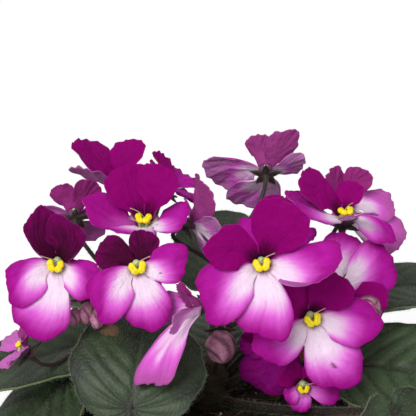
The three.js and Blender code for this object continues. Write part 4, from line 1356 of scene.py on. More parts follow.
    def petal_marks(self, side: Side, bloom: Bloom, s: np.ndarray, t: np.ndarray) -> dict[str, np.ndarray]:
        """Gives what a petal's points carry for its finish.

        Args:
            side: Where the petal stands.
            bloom: Its bloom.
            s: How far out each point is.
            t: How far across.

        Returns:
            The marks of its front points and then of its back points, each from 0 up.
        """
        upper = side in UPPER_SIDES
        if upper:
            # A bloom in shade gets its upper petals darkened to maroon as painted shade; they are also
            # darker near the throat.
            dark = np.maximum((1 - eased(s / 0.5)) * 0.8, bloom.painted_shade * (1 - 0.4 * s))
            deep = 0.95 + 0 * s
            faded, backs = 0.3 * bloom.faded, 0.25 * bloom.backs
        else:
            dark = (1 - eased(s / 0.22)) * 0.5
            deep = 0.6 * eased((s - 0.75) / 0.25)
            faded, backs = bloom.faded, bloom.backs
        if bloom.blemish is not None and bloom.blemish[0] is side:
            _, out_at, over_at, wide = bloom.blemish
            dark = dark + 1.2 * np.exp(-((s - out_at) ** 2 + 0.4 * (t - over_at) ** 2) / wide**2)
        white = self.white(side, s, t) * bloom.heart
        if side in bloom.plain:
            deep = np.maximum(deep, 0.6)
            white = 0.25 * white
        if side is BOTTOM:
            band = bloom.band * np.exp(-(((t + 0.2) / 0.3) ** 2)) * eased((1 - s) / 0.4)
            white = np.maximum(white, band)
        return {
            "white": np.tile(white.ravel(), 2),
            "deep": np.tile(deep.ravel(), 2),
            "dark": np.concatenate([dark.ravel(), np.zeros(s.size)]),
            "back": np.repeat([faded, max(faded, backs)], s.size),
        }

    def throat(self, bloom: Bloom, seat: Seat) -> Skin:
        """Builds the short tube behind the petals, with a deep cup in it.

        Args:
            bloom: The bloom.
            seat: Its frame.

        Returns:
            A closed skin.
        """
        up = 0.55 * (bloom.flare - self.usual_flare)
        outside = [[0, -3.4], [1.2, -3.4], [1.6, -3.1], [1.9, -2.2], [2.6, -0.75], [bloom.flare, up - 0.35],
                   [bloom.flare - 0.2, up - 0.1]]
        cup = [[2.25, -0.25], [2.0, -0.9], [1.5, -2.0], [0.9, -2.6], [0, -2.7]]
        skin = lathe(np.array(outside + cup), self.throat_sides, seat)
        inside = np.concatenate([np.repeat([0, 0, 0, 0, 0, 0, 0.8, 1, 1, 1], self.throat_sides), [0, 1]])
        skin.marks = {"cream": inside * 1.0, "back": 1.0 - inside, "dark": 0.6 * (1 - inside)}
        skin.flow = np.zeros((len(skin.points), 2))
        return skin

    def anther(self, side: int, grown: float) -> Skin:
        """Builds one anther, two sacs end to end with a seam along them.

        Args:
            side: -1 for the left one and 1 for the right one.
            grown: How large it is, 1 in a large bloom.

        Returns:
            A closed skin whose points are still in the bloom's frame.
        """
        lat = np.linspace(-math.pi / 2, math.pi / 2, self.sac_rings)[1:-1, None]
        lon = np.linspace(0, 2 * math.pi, self.sac_sides, endpoint=False)[None, :]
        x, z, y = np.cos(lat) * np.cos(lon), np.cos(lat) * np.sin(lon), np.sin(lat) + 0 * lon
        groove = np.exp(-((x / 0.28) ** 2)) * (z > 0) * np.cos(lat)
        shrink = 1 - 0.16 * groove - 0.3 * np.exp(-((y / 0.24) ** 2))
        sacs = np.stack([x, y, z], -1).reshape(-1, 3) * shrink.reshape(-1, 1)
        across, along, high = (np.concatenate([sacs, [[0, -1, 0], [0, 1, 0]]]) * np.array(self.sac)).T
        across = across + self.sac_bend * (along**2 - 2.0) * -side
        turn = math.radians(-self.sac_turn * side)
        c, s = math.cos(turn), math.sin(turn)
        aside, up, forward = self.sac_at
        points = grown * np.stack([across * c - along * s + aside * side, across * s + along * c + up,
                                   high + forward], -1)
        faces = ring_faces(self.sac_rings - 2, self.sac_sides, clockwise=True)
        return Skin(points, faces, {"seam": np.append(groove.ravel() > 0.6, [0, 0]) * 1.0})

    def stamens(self, bloom: Bloom, grower: Grower, seat: Seat) -> list[Skin]:
        """Builds the pair of anthers, their filaments, the ovary and its style.

        Args:
            bloom: The bloom.
            grower: The trees and the materials.
            seat: The bloom's frame.

        Returns:
            Their skins.
        """
        grown = bloom.pollen * min(1.0, bloom.size / self.full_size)
        skins = []
        chains = []
        for side in (-1, 1):
            skin = self.anther(side, grown)
            skin.points = seat.out(*skin.points.T)
            skins.append(skin)
            path = bezier(np.array([0.5 * side, -0.8, -2.5]), np.array([1.2 * side, -2.0, -0.5]),
                          np.array([1.6 * side, -1.6, 1.5]) * grown,
                          np.array([1.3 * side, -0.4, 2.6]) * grown, 8)
            chains.append((seat.out(*path.T), np.linspace(0.6, 0.5, len(path))))
        sway = 1 if bloom.roll >= 0 else -1
        style = bezier(np.array([0, 1.0, 1.2]), np.array([0.4 * sway, 1.6, 3.2]),
                       np.array([2.4 * sway, 2.2, 4.4]), np.array([5.4 * sway, 2.6, 4.9]) * grown, 12)
        chains.append((seat.out(*style.T), np.array([0.4, *np.full(10, 0.19), 0.24, 0.3])))
        sides = 8
        threads = grower.stem_skin(chains, 1, sides)
        filament_points, style_points = 2 * len(path) * sides, len(style) * sides
        along_style = (np.arange(len(threads.points)) - filament_points) / style_points
        threads.marks["pink"] = eased(along_style) * 0.8
        turn = np.linspace(0, math.pi, 10)
        radius, half = self.ovary
        dome = np.stack([radius * np.sin(turn), half * -np.cos(turn) - 0.1], -1)
        dome[[0, -1], 0] = 0
        ovary = lathe(dome, 18, replace(seat, at=seat.at + 1.3 * seat.y), finish=1)
        return [*skins, threads, ovary]

    def build(self, bloom: Bloom, grower: Grower) -> None:
        """Builds one bloom as two pieces, its petals and what stands in its throat.

        Args:
            bloom: The bloom.
            grower: The trees and the materials.
        """
        seat = flower_seat(bloom.at, bloom.faces, bloom.roll)
        skins = [self.petal_skin(side, bloom, seat) for side in Side] + [self.throat(bloom, seat)]
        mesh = mesh_of(bloom.name + "_corolla_mesh", skins)
        dress(bloom.name + "_corolla", mesh, [grower.petal], "petal", bloom.name + "_petals")
        mesh = mesh_of(bloom.name + "_stamens_mesh", self.stamens(bloom, grower, seat))
        finishes = [grower.made[ANTHER], grower.made[OVARY]]
        dress(bloom.name + "_stamens", mesh, finishes, "anther", bloom.name + "_anthers")


# Buds and flower stalks


@dataclass(frozen=True)
class Bud:
    """One bud, or a few that grew side by side: a lobe is x, y, radius, length and its foot's height."""

    name: str
    stalk: str
    at: tuple[float, float, float]
    faces: tuple[float, float]
    lobes: tuple[tuple[float, ...], ...] = ()
    lean: tuple[float, float] = (0, 90)
    roll: float = 0.0
    depth: float = 1.4
    star: tuple[float, float] = (6.4, 1.2)
    rings: int = 26
    sides: int = 48

    def skin(self, lobe: tuple[float, ...], seat: Seat) -> Skin:
        """Builds one lobe: petals rolled over each other, with a crease where each one ends.

        Args:
            lobe: Its x, y, radius and length and the height of its foot.
            seat: The bud's frame.

        Returns:
            A closed skin.
        """
        x, y, radius, length, base = lobe
        lat = np.linspace(-math.pi / 2, math.pi / 2, self.rings)[1:-1, None]
        lon = np.linspace(0, 2 * math.pi, self.sides, endpoint=False)[None, :]
        height = np.sin(lat) + 0 * lon
        wound = (lon / (2 * math.pi) * 4 + 0.8 * height) % 1.0
        closing = np.cos(lat) ** 0.6
        fat = radius * np.cos(lat) * (0.8 + 0.25 * wound * closing)
        crease = np.exp(-((np.minimum(wound, 1 - wound) / 0.12) ** 2))
        up = length / 2 * (height + 1) - self.depth + base
        skin = seat.out(x + fat * np.cos(lon), y + fat * np.sin(lon), up)
        ends = seat.out(np.full(2, x), np.full(2, y), np.array([0.0, length]) - self.depth + base)
        points = np.concatenate([skin.reshape(-1, 3), ends])
        marks = {"crease": np.append((crease * eased(height + 0.9)).ravel(), [0, 1]),
                 "hairy": np.ones(len(points))}
        return Skin(points, ring_faces(self.rings - 2, self.sides), marks)

    def build(self, grower: Grower, seed: int) -> None:
        """Builds the bud and puts it in its node's place.

        Args:
            grower: The trees and the materials.
            seed: The seed of its hairs.
        """
        seat = flower_seat(self.at, self.faces)
        bare = mesh_of(self.name + "_bare", [self.skin(lobe, seat) for lobe in self.lobes])
        finishes = [grower.made[BUD], grower.made[RED_DOWN]]
        mesh = grower.hairs(self.name + "_mesh", bare, finishes, Density=2.5e6, Length=0.9 * MM,
                            Width=0.08 * MM, Lean=0.6, Seed=seed)
        dress(self.name + "_rolled", mesh, [], "bud", self.name)


@dataclass(frozen=True)
class FlowerStalk:
    """A flower stalk from the crown to its fork, with the pedicels and sepals of what it carries."""

    name: str
    fork: tuple[float, float, float]
    root: tuple[float, float, float]
    radius: float = 1.5
    pedicel_radius: float = 0.85
    sepal_thickness: float = 0.5
    sepal_width: float = 1.5
    sepal_rows: int = 11
    sepal_columns: int = 7

    def stem(self) -> tuple[Path, np.ndarray]:
        """Gives the stalk itself, from inside the crown to its fork.

        Returns:
            The points of its path and its radius at each.
        """
        fork = np.array(self.fork, float)
        azimuth, rise, height = self.root
        root = heading(azimuth, 0) * (CROWN_RADIUS - 2.0)
        root[2] = height
        span = float(np.linalg.norm(fork - root))
        path = bezier(root, root + heading(azimuth, rise) * 0.4 * span, fork - UP * 0.35 * span, fork, 24)
        return path, self.radius * (1 - 0.25 * np.linspace(0, 1, len(path)))

    def pedicel(self, item: Bloom | Bud, seat: Seat) -> tuple[Path, np.ndarray]:
        """Gives the pedicel of a bloom or a bud, from its sepals to the fork.

        Args:
            item: The bloom or bud.
            seat: Its frame.

        Returns:
            The points of its path and its radius at each.
        """
        fork = np.array(self.fork, float)
        foot = -item.depth - 0.3
        end = seat.at + seat.z * (foot - 2.2)
        span = float(np.linalg.norm(end - fork))
        path = bezier(end, end - seat.z * 0.35 * span, fork + heading(*item.lean) * 0.35 * span, fork, 18)
        head = np.array([seat.at + seat.z * (foot - 0.2), seat.at + seat.z * (foot - 1.2)])
        radii = np.concatenate([[1.7, 1.35, 1.0], np.full(18, self.pedicel_radius)])
        return np.concatenate([head, path]), radii

    def sepal(self, item: Bloom | Bud, seat: Seat, turn: float) -> Skin:
        """Builds one pointed sepal.

        Args:
            item: The bloom or bud that it stands behind.
            seat: Its frame.
            turn: The sepal's direction, in degrees.

        Returns:
            A closed thin skin.
        """
        radius, lift = item.star
        foot = -item.depth - 0.3
        share, t = np.meshgrid(np.linspace(0.06, 1.0, self.sepal_rows),
                               np.linspace(-1, 1, self.sepal_columns), indexing="ij")
        plump = np.sin(math.pi * np.clip(share * 0.8 + 0.2, 0, 1)) ** 0.8
        half = self.sepal_width * plump * (1 - share**6) + 0.05
        out = radius * share
        across = t * half
        z = foot + lift * share**1.5 + 0.25 * t * t * half - 0.15 + 0.2 * np.sin(3 * share + turn)
        c, s = math.cos(math.radians(turn)), math.sin(math.radians(turn))
        front = seat.out(out * c - across * s, out * s + across * c, z)
        back = front - seat.z * self.sepal_thickness
        points = np.concatenate([front.reshape(-1, 3), back.reshape(-1, 3)])
        return Skin(points, sheet_faces(*out.shape), {"hairy": np.ones(len(points))})

    def build(self, items: list[Bloom | Bud], grower: Grower, seed: int) -> None:
        """Builds the stalk with all its branches and puts it in its node's place.

        Args:
            items: The blooms and buds that it carries.
            grower: The trees and the materials.
            seed: The seed of its hairs.
        """
        name = "flower_stalk_" + self.name
        seats = [flower_seat(item.at, item.faces, item.roll) for item in items]
        chains = [self.stem()] + [self.pedicel(item, seat) for item, seat in zip(items, seats)]
        skins = [grower.stem_skin(chains, 0)]
        for item, seat in zip(items, seats):
            skins += [self.sepal(item, seat, 18 + 72 * k) for k in range(5)]
        bare = mesh_of(self.name + "_bare", skins)
        finishes = [grower.made[STALK], grower.made[RED_DOWN]]
        mesh = grower.hairs(name + "_mesh", bare, finishes, Density=2.2e6, Length=1.2 * MM,
                            Width=0.09 * MM, Lean=0.5, Seed=seed)
        dress(name + "_stems", mesh, [], "stalk", name)


# Pot, potting mix and crown


@dataclass(frozen=True)
class Pot:
    """The clay pot with its filling and the crown that stands in it, in millimetres."""

    height: float = 96.0
    top_radius: float = 64.0
    base_radius: float = 46.0
    wall: float = 3.4
    band_height: float = 20.0
    band_step: float = 2.4
    floor: float = 4.0
    soil_level: float = 86.0
    soil_dome: float = 2.0
    mix_rings: int = 44
    mix_sides: int = 150
    gap: float = 0.3
    crown_foot: float = 70.0
    crown_top: float = 107.0

    def wall_radius(self, z: float) -> float:
        """Gives the outer radius of the tapered wall at a height."""
        return self.base_radius + (self.top_radius - self.band_step - self.base_radius) * z / self.height

    def profile(self) -> np.ndarray:
        """Gives the pot's turned outline, each of its corners rounded as a wet sponge leaves it.

        Returns:
            The radius and height of each point, from the middle of the foot to the middle of the floor.
        """
        band = self.height - self.band_height
        corners = np.array([
            [0, 0], [self.base_radius - 1, 0], [self.base_radius, 1.5], [self.wall_radius(band), band],
            [self.top_radius - 1, band + 1], [self.top_radius, self.height - 1.5],
            [self.top_radius - 1.5, self.height],
            [self.top_radius - self.band_step - self.wall + 1, self.height],
            [self.wall_radius(self.height) - self.wall, self.height - 1.5],
            [self.wall_radius(self.floor) - self.wall, self.floor], [0, self.floor]])
        line = [corners[0]]
        for before, corner, after in zip(corners, corners[1:], corners[2:]):
            a = corner + unit(before - corner) * min(0.8, 0.4 * np.linalg.norm(before - corner))
            b = corner + unit(after - corner) * min(0.8, 0.4 * np.linalg.norm(after - corner))
            t = np.linspace(0, 1, 5)[:, None]
            line += list((1 - t) ** 2 * a + 2 * t * (1 - t) * corner + t * t * b)
        return np.array(line + [corners[-1]])

    def build_pot(self, grower: Grower) -> None:
        """Turns and drills the pot and puts it in its node's place.

        Args:
            grower: The trees and the materials.
        """
        line = self.profile()
        mesh = bpy.data.meshes.new("pot_profile")
        points = np.stack([line[:, 0], -line[:, 1], 0 * line[:, 0]], -1) * MM
        mesh.from_pydata(points.tolist(), [(i, i + 1) for i in range(len(points) - 1)], [])
        made = run_tree(grower.pot, mesh, {"Finish": grower.made[CLAY]})
        dress("pot_turned", made, [], "clay", "pot")

    def crumb(self, name: str, size: float, flat: float, rng: np.random.Generator) -> Object:
        """Makes a small uneven lump.

        Args:
            name: Its name.
            size: Its radius.
            flat: Its height as a share of its width.
            rng: Where its unevenness comes from.

        Returns:
            The lump.
        """
        turn = np.linspace(0, 2 * math.pi, 6, endpoint=False)
        rings = [np.stack([np.cos(turn + a) * r, np.sin(turn + a) * r, np.full(6, z)], -1)
                 for r, z, a in ((0.75, -0.45, 0.0), (0.95, 0.15, 0.5), (0.5, 0.7, 1.0))]
        points = np.concatenate([*rings, [[0, 0, -0.7], [0, 0, 0.9]]])
        points *= 1 + rng.uniform(-0.18, 0.18, (len(points), 1))
        points *= np.array([size, size, size * flat])
        return bpy.data.objects.new(name, mesh_of(name, [Skin(points, ring_faces(3, 6))]))

    def thread(self, grower: Grower) -> Object:
        """Makes one bent dry thread of peat, lying flat.

        Args:
            grower: The trees and the materials.

        Returns:
            The thread.
        """
        path = bezier(np.array([-3.0, 0, 0.1]), np.array([-1, 1.6, 0.5]), np.array([1, -1.4, 0.3]),
                      np.array([3.0, 0.4, 0.1]), 5)
        skin = grower.stem_skin([(path, np.full(6, 0.14))], 0, sides=3)
        return bpy.data.objects.new("thread", mesh_of("thread", [skin]))

    def build_mix(self, grower: Grower) -> None:
        """Fills the pot with loose mix and puts it in its node's place.

        Args:
            grower: The trees and the materials.
        """
        rng = np.random.default_rng(7)
        rings, sides, hole = self.mix_rings, self.mix_sides, CROWN_RADIUS + self.gap
        inner = self.wall_radius(self.soil_level) - self.wall - self.gap
        low = self.wall_radius(self.floor) - self.wall - self.gap - 0.5
        r, turn = np.meshgrid(np.linspace(hole, inner, rings),
                              np.linspace(0, 2 * math.pi, sides, endpoint=False), indexing="ij")
        x, y = r * np.cos(turn), r * np.sin(turn)
        rough = 0 * r
        for _ in range(26):
            way, pitch = rng.uniform(0, 2 * math.pi), rng.uniform(2.5, 11)
            rough += 0.11 * pitch**0.5 * np.sin(
                (x * math.cos(way) + y * math.sin(way)) * 2 * math.pi / pitch + rng.uniform(0, 6.28))
        settle = eased((inner - r) / 3) * eased((r - hole) / 3)
        z = self.soil_level + self.soil_dome * (1 - (r / inner) ** 2) + rough * settle
        top = np.stack([x, y, z], -1).reshape(-1, 3)
        walls = [np.stack([a * np.cos(turn[0]), a * np.sin(turn[0]),
                           np.full(sides, self.floor + self.gap)], -1) for a in (low, hole)]
        faces = strip_faces(rings + 2, sides, closed=True)
        last = (rings + 1) * sides
        for j in range(sides):
            k = (j + 1) % sides
            faces.append((last + j, j, k, last + k))
        bulk = mesh_of("potting_mix_bulk", [Skin(np.concatenate([top, *walls]), faces)])
        finishes = [grower.made[finish] for finish in (PEAT, GRIT, THREAD)]
        # Each kind: its shape, how many lie on a square metre, its least and most size, and its tilt.
        kinds = [
            (self.crumb("crumb", 0.95, 0.8, rng), 0.85e5, 0.45, 1.9, 0.9),
            (self.crumb("grit", 0.9, 0.9, rng), 6e3, 0.5, 1.3, 1.2),
            (self.thread(grower), 3.2e4, 0.5, 1.3, 0.35),
        ]
        skins = [skin_of(bulk)]
        for number, (shape, density, least, most, tilt) in enumerate(kinds):
            bpy.context.scene.collection.objects.link(shape)
            strewn = run_tree(grower.strewn, bulk, {
                "Density": density, "Shape": shape, "Least": least, "Most": most, "Tilt": tilt,
                "Seed": 11 + number, "Finish": finishes[number]})
            skins.append(skin_of(strewn, number))
            bpy.data.objects.remove(shape)
        mesh = mesh_of("potting_mix_mesh", skins)
        dress("potting_mix_loose", mesh, finishes, "potting_mix", "potting_mix")

    def build_crown(self, grower: Grower) -> None:
        """Builds the crown, ringed with scars, and puts it in its node's place.

        Args:
            grower: The trees and the materials.
        """
        foot, top = self.crown_foot, self.crown_top + 1.5
        corners = np.array([[4, foot], [6.5, 80], [CROWN_RADIUS, 91], [CROWN_RADIUS, 101],
                            [5.5, self.crown_top], [0, top]])
        heights = np.linspace(foot + 0.2, top - 0.3, 60)
        scars = 0.35 * (0.5 + 0.5 * np.sin(heights * 2.4))
        radii = np.interp(heights, corners[:, 1], corners[:, 0]) - scars
        profile = np.concatenate([[[0, foot]], np.stack([radii, heights], -1), [[0, top]]])
        skin = lathe(profile, 48, Seat(np.zeros(3), np.eye(3)[0], np.eye(3)[1], UP))
        wobble = 1 + 0.02 * np.sin(5 * np.arctan2(skin.points[:, 1], skin.points[:, 0]) + skin.points[:, 2])
        skin.points[:, :2] *= wobble[:, None]
        skin.marks = {"hairy": (skin.points[:, 2] > self.soil_level + 4) * 1.0}
        finishes = [grower.made[WOOD], grower.made[RED_DOWN]]
        mesh = grower.hairs("crown_mesh", mesh_of("crown_bare", [skin]), finishes, Density=1.5e6,
                            Length=1.6 * MM, Width=0.1 * MM, Lean=0.6, Seed=3)
        dress("crown_scarred", mesh, [], "stem", "crown")


# Floor, light and camera


@dataclass(frozen=True)
class Studio:
    """A pale floor, soft light from the upper left, and the photograph's camera, in mm and degrees."""

    target: tuple[float, float, float] = (0.0, -15.0, 173.0)
    distance: float = 700.0
    elevation: float = 15.0
    frame_width: float = 416 * 0.38  # the photograph's width in pixels, at 0.38 mm a pixel at the blooms
    sensor: float = 36.0
    floor_metres: float = 24.0
    room_light: float = 0.56
    sun_strength: float = 2.4
    sun_spread: float = 32.0
    sun_from: tuple[float, float] = (-22, 36)

    def build(self) -> None:
        """Builds all of it."""
        scene = bpy.context.scene
        material, _, _ = start_finish("floor_paper_matt", Roughness=0.9, Base_Color=linear("ffffff"),
                                      Specular_IOR_Level=0.0)
        half = self.floor_metres / 2
        mesh = bpy.data.meshes.new("floor_mesh")
        mesh.from_pydata([(-half, -half, 0), (half, -half, 0), (half, half, 0), (-half, half, 0)], [],
                         [(0, 1, 2, 3)])
        mesh.materials.append(material)
        floor = bpy.data.objects.new("floor", mesh)
        floor.visible_diffuse = False
        scene.collection.objects.link(floor)
        world = bpy.data.worlds.new("soft_white_room")
        world.use_nodes = True
        background = world.node_tree.nodes["Background"]
        background.inputs["Color"].default_value = linear("ffffff")
        background.inputs["Strength"].default_value = self.room_light
        scene.world = world
        key = bpy.data.lights.new("key_window", "SUN")
        key.energy = self.sun_strength
        key.angle = math.radians(self.sun_spread)
        lamp = bpy.data.objects.new("key_window", key)
        lamp.rotation_mode = "QUATERNION"
        lamp.rotation_quaternion = Vector(heading(*self.sun_from)).to_track_quat("Z", "Y")
        scene.collection.objects.link(lamp)
        camera = bpy.data.cameras.new("photo_camera")
        camera.sensor_width = self.sensor
        camera.lens = self.sensor * self.distance / self.frame_width
        camera.clip_end = 100.0
        eye = bpy.data.objects.new("photo_camera", camera)
        eye.location = (np.array(self.target) + self.distance * heading(0, self.elevation)) * MM
        eye.rotation_euler = (math.radians(90 - self.elevation), 0.0, 0.0)
        scene.collection.objects.link(eye)
        scene.camera = eye
        scene.view_settings.view_transform = "Standard"


# The plant as it grew, in millimetres and degrees

# Name, joint, azimuth, pitch, roll, length, width, fold, curl, droop, wave, phase, root
LEAVES = [
    Leaf("leaf_front_left", (-28, -60, 109.5), 160, 70, 16, 43, 51, 1.5, 3, 72, 1.2, 0, (-26, 12, 95),
         arrive=(-26, 12), scorch=(30.5, 12.5, 4.5)),
    Leaf("leaf_left", (-41, -18, 121), -76, -8, -8, 56, 46, 4, 1, 18, 1.5, 1, (-64, 40, 96)),
    Leaf("leaf_left_low", (-54, -31, 109.5), -60, -36, -4, 50, 48, 2, 2, 30, 1.5, 2, (-48, 15, 92)),
    Leaf("leaf_right", (51, -22, 113), 68, 5, 28, 57, 46, 3, 1, 18, 1.5, 0.5, (66, 35, 96), quilt=1.6),
    Leaf("leaf_right_upper", (54, 12, 131), 88, 10, 10, 54, 44, 3, 1, 20, 1.5, 2.5, (98, 50, 99)),
    Leaf("leaf_right_low", (68, -62, 109), 36, -56, 0, 46, 46, 2, 3, 15, 1.5, 1.5, (44, 6, 91.2),
         arrive=(40, 16)),
    Leaf("leaf_right_back", (44, 32, 118), 122, 6, 0, 58, 46, 3, 2, 14, 1.5, 0, (124, 40, 95)),
    Leaf("leaf_back_right", (26, 44, 114), 150, 14, 0, 54, 48, 3, 2, 24, 1.5, 2, (148, 40, 93)),
    Leaf("leaf_back", (4, 29, 98.5), 178, 12, 0, 58, 50, 2, 2, 26, 1.5, 1, (176, 12, 91.2)),
    Leaf("leaf_back_tall", (4, 38, 128), 172, 32, 0, 46, 44, 3, 2, 20, 1.5, 0, (172, 60, 99),
         arrive=(172, 22)),
    Leaf("leaf_back_left", (-36, 42, 117), -140, 8, 0, 58, 50, 3, 2, 24, 1.5, 2, (-140, 40, 94)),
    Leaf("leaf_left_back", (-46, 14, 108), -104, -2, 0, 56, 48, 3, 2, 24, 1.5, 1, (-106, 40, 97)),
]

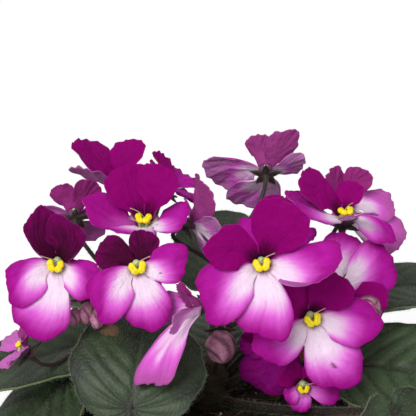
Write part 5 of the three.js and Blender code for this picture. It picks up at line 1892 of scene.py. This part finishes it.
# Name, stalk, at, faces, roll, size
# These repeat the CAD's list. Where the photograph shows a petal's tip, the petal's length and swing were
# worked out so that the tip falls there.
BLOOMS = [
    Bloom("bloom_left_front", "left", (-55.5, -42, 158.9), (-8, 12), -5, 25, painted_shade=0.85,
          points={LEFT: (0.14, 0.35), BOTTOM: (0.08, 0.1), UPPER_LEFT: (0.16, -0.1),
                  UPPER_RIGHT: (0.08, 0.5)},
          petals={
        RIGHT: dict(length=0.74, swing=-3),
        UPPER_RIGHT: dict(swing=18, fan=36, layer=3.2),
        UPPER_LEFT: dict(length=0.88, swing=-15, cup=-10, fan=34, layer=0.8),
        LEFT: dict(length=0.84, swing=18),
        BOTTOM: dict(length=1.13, swing=-11),
    }),
    Bloom("bloom_left_centre", "centre_left", (-25.9, -47, 159.3), (4, 18), 12, 23, painted_shade=0.9,
          blemish=(RIGHT, 0.45, -0.3, 0.035),
          points={LEFT: (0.16, 0.4), BOTTOM: (0.12, 0.05), RIGHT: (0.12, 0.35)}, petals={
        RIGHT: dict(length=0.82, swing=10),
        UPPER_RIGHT: dict(length=0.6, swing=7, rise=14, tip=-16, layer=-1.3),
        UPPER_LEFT: dict(length=0.7, swing=12, rise=14, tip=-16, layer=-2.6),
        LEFT: dict(swing=12),
        BOTTOM: dict(length=1.01, swing=1),
    }),
    Bloom("bloom_left_upper", "centre_left", (-24.3, -18, 167.9), (-4, 58), -4, 23, painted_shade=0.1, flare=6,
          plain=(LEFT,), points={LEFT: (0.14, -0.2)}, petals={
        RIGHT: dict(length=0.83, swing=18, rise=30, tip=20),
        UPPER_RIGHT: dict(length=0.92, swing=12, rise=52, tip=37, layer=3.8),
        UPPER_LEFT: dict(length=1, swing=-3, rise=48, tip=32),
        LEFT: dict(swing=-18, rise=30, tip=10),
        BOTTOM: dict(length=0.95, swing=-8, rise=44, tip=30, layer=1.3),
    }),
    Bloom("bloom_centre", "centre", (19.5, -54, 162.5), (-4, 20), 12, 26,
          points={LEFT: (0.14, 0.4), BOTTOM: (0.14, 0.35), UPPER_LEFT: (0.12, 0.25)}, petals={
        RIGHT: dict(length=1.19, swing=7, rise=34, tip=16, cup=10, twist=-50, layer=0.8),
        UPPER_RIGHT: dict(length=1, swing=-1),
        UPPER_LEFT: dict(length=0.83, swing=17),
        LEFT: dict(length=1.05, swing=6),
        BOTTOM: dict(length=1.05, swing=-9),
    }),
    Bloom("bloom_right_front", "right", (38, -46, 139.3), (8, 12), 16, 25, band=0.3,
          blemish=(BOTTOM, 0.62, 0.1, 0.04),
          points={LEFT: (0.12, -0.1), BOTTOM: (0.14, 0.15), RIGHT: (0.18, 0)}, petals={
        RIGHT: dict(length=0.97, swing=-5),
        UPPER_RIGHT: dict(length=0.83, swing=-9),
        UPPER_LEFT: dict(length=0.76, swing=-5),
        LEFT: dict(length=0.96, swing=-6),
        BOTTOM: dict(length=1.13, swing=9),
    }),
    Bloom("bloom_right_upper", "right", (52.5, -10, 168.1), (10, 72), 8, 22, flare=5,
          points={BOTTOM: (0.14, 0.4), RIGHT: (0.14, 0)}, petals={
        RIGHT: dict(length=0.91, swing=-18, rise=-5, tip=-30),
        UPPER_RIGHT: dict(length=0.59, swing=4, rise=55, tip=45),
        UPPER_LEFT: dict(length=1.08, swing=18, rise=45, tip=35),
        LEFT: dict(length=1.24, swing=-13, rise=34, tip=26, layer=-0.6),
        BOTTOM: dict(length=0.85, rise=42, tip=30, layer=1.3),
    }),
    Bloom("bloom_right_back", "right", (55.5, 14, 166), (20, 50), 25, 20, pollen=0.7, faded=0.4,
          crimp=0.5, petals={
        RIGHT: dict(length=0.95, swing=-16, rise=20, tip=-10),
        UPPER_RIGHT: dict(length=0.71, swing=-18, rise=53, tip=43, layer=3.8),
        UPPER_LEFT: dict(length=0.86, swing=-18, rise=50, tip=40),
        LEFT: dict(length=0.7, rise=40, tip=30),
        BOTTOM: dict(length=1.31, swing=18, rise=10, tip=-20),
    }),
    Bloom("bloom_centre_back", "centre", (22.7, 10, 182.5), (178, 36), 0, 20, backs=0.9, crimp=0.4,
          points={UPPER_LEFT: (0.2, 0.1)}, petals={
        RIGHT: dict(length=1.33, swing=-9, rise=24, tip=0),
        UPPER_RIGHT: dict(length=0.64, swing=13, rise=40, tip=20),
        UPPER_LEFT: dict(length=0.86, swing=3, rise=34, tip=24, cup=22, layer=0.6),
        LEFT: dict(length=0.83, swing=-3, rise=30, tip=10, cup=20),
        BOTTOM: dict(length=1.35, swing=15, rise=24, tip=-10, layer=-2.4),
    }),
    Bloom("bloom_left_back", "centre_left", (-36.2, 18, 173.2), (-172, 78), 180, 20, lean=(-160, 55),
          heart=0, painted_shade=0.3, crimp=0.5, petals={
        RIGHT: dict(length=0.85, rise=42, tip=30),
        UPPER_RIGHT: dict(length=1, swing=-3, rise=62, tip=52, layer=3.4),
        UPPER_LEFT: dict(length=1.3, swing=11, rise=58, tip=44, cup=6, layer=0.4),
        LEFT: dict(length=1.1, swing=16, rise=30, tip=20),
        BOTTOM: dict(length=0.6, rise=10, tip=-30),
    }),
    Bloom("bloom_left_far", "left", (-51.8, -4, 168.5), (-170, 35), 0, 16, heart=0, backs=0.5, petals={
        RIGHT: dict(length=0.8, rise=30),
        UPPER_RIGHT: dict(length=0.75, layer=1.7),
        UPPER_LEFT: dict(length=0.9, layer=0.8),
        LEFT: dict(length=0.8),
        BOTTOM: dict(length=1.35, swing=-18, rise=26),
    }),
    Bloom("bloom_top_back", "centre_left", (-15.3, 29, 170.4), (90, 60), 0, 18, heart=0, crimp=0.5,
          petals={
        BOTTOM: dict(length=0.86, swing=18, rise=20, tip=-10),
    }),
    Bloom("bloom_low_centre", "low", (-4, -55, 146.9), (-62, 0), 0, 25, pollen=0.8, heart=0.8, faded=0.35,
          band=0.75, points={BOTTOM: (0.16, -0.6)}, petals={
        RIGHT: dict(length=0.6, rise=62, tip=50, fan=30, layer=4.6),
        UPPER_RIGHT: dict(length=0.5, rise=54, tip=44, fan=30, layer=2.4),
        UPPER_LEFT: dict(length=0.42, fan=32),
        LEFT: dict(length=0.8, fan=32),
        BOTTOM: dict(length=1.35, swing=4, rise=50, tip=20, cup=8, twist=-14, fan=25, layer=1.3),
    }),
    Bloom("bloom_mid", "centre", (-5.7, -12, 166.7), (110, 20), 0, 22, faded=0.6, petals={
        BOTTOM: dict(length=0.9),
    }),
    Bloom("bloom_right_far", "right", (49.6, -25, 143.5), (30, 25), 180, 21, petals={
        RIGHT: dict(length=0.85),
        UPPER_RIGHT: dict(length=0.6),
        UPPER_LEFT: dict(length=0.9, swing=18),
        LEFT: dict(length=1.21, swing=3),
        BOTTOM: dict(swing=-18),
    }),
    Bloom("bloom_low_right", "right", (35.7, -40, 110.1), (5, 5), 5, 16, lean=(-40, -10), heart=0.5,
          petals={
        RIGHT: dict(length=0.89, swing=7),
        LEFT: dict(length=0.52, swing=10),
        BOTTOM: dict(length=0.62, swing=-12),
    }),
    Bloom("bloom_low_dark", "low", (23.7, -25, 122.3), (-30, -25), 0, 20, heart=0, painted_shade=0.4, petals={
        RIGHT: dict(length=0.75),
        UPPER_RIGHT: dict(length=0.6),
        UPPER_LEFT: dict(length=0.6),
        LEFT: dict(length=0.65),
        BOTTOM: dict(length=1.35, swing=-17),
    }),
    Bloom("bloom_far_left_low", "left", (-69.3, -42, 126.7), (-75, 50), 0, 12.5, lean=(-60, -10),
          heart=0.3, faded=0.6, petals={
        UPPER_RIGHT: dict(length=0.75, layer=1.7),
        UPPER_LEFT: dict(layer=0.8),
        BOTTOM: dict(length=0.93, swing=14),
    }),
    Bloom("bloom_inner", "centre", (29.7, -8, 161.6), (0, 60), 0, 20, heart=0, painted_shade=0.4, petals={
        RIGHT: dict(length=0.65, swing=-12),
        UPPER_LEFT: dict(length=0.77, swing=-6),
    }),
]

# Name, stalk, at, faces
BUDS = [
    Bud("buds_left", "left", (-45, -35, 141), (-10, -60),
        lobes=[(0, 0, 3.2, 9, 0), (-4.2, 1, 2.6, 7, 3), (4.4, 0.5, 3, 8, 2.6)]),
    Bud("bud_centre", "low", (4.5, -28, 127), (6, -50),
        lobes=[(0, 0, 6, 13, 0)]),
    Bud("bud_right", "right", (57.5, -37, 138), (25, 35),
        lobes=[(0, 0, 5.2, 12, 0)], lean=(50, -35)),
]

# Name, fork, root
STALKS = [
    FlowerStalk("left", (-32, -12, 130), (-60, 70, 104)),
    FlowerStalk("centre_left", (-20, 4, 142), (-130, 75, 105)),
    FlowerStalk("centre", (6, 2, 138), (150, 80, 105)),
    FlowerStalk("right", (38, 2, 130), (85, 65, 104)),
    FlowerStalk("low", (8, -16, 124), (25, 75, 104)),
]


def main() -> None:
    """Builds the plant piece by piece, from the pot up."""
    logging.basicConfig(level=logging.INFO, format="%(name)s: %(message)s")
    grower = Grower()
    Studio().build()
    pot = Pot()
    pot.build_pot(grower)
    pot.build_mix(grower)
    pot.build_crown(grower)
    rosette = Rosette()
    for seed, leaf in enumerate(LEAVES):
        rosette.build(leaf, grower, seed)
    corolla = Corolla()
    for bloom in BLOOMS:
        corolla.build(bloom, grower)
    for seed, bud in enumerate(BUDS):
        bud.build(grower, seed)
    for seed, stalk in enumerate(STALKS):
        own = [item for item in [*BLOOMS, *BUDS] if item.stalk == stalk.name]
        stalk.build(own, grower, seed)


if __name__ == "__main__":
    main()
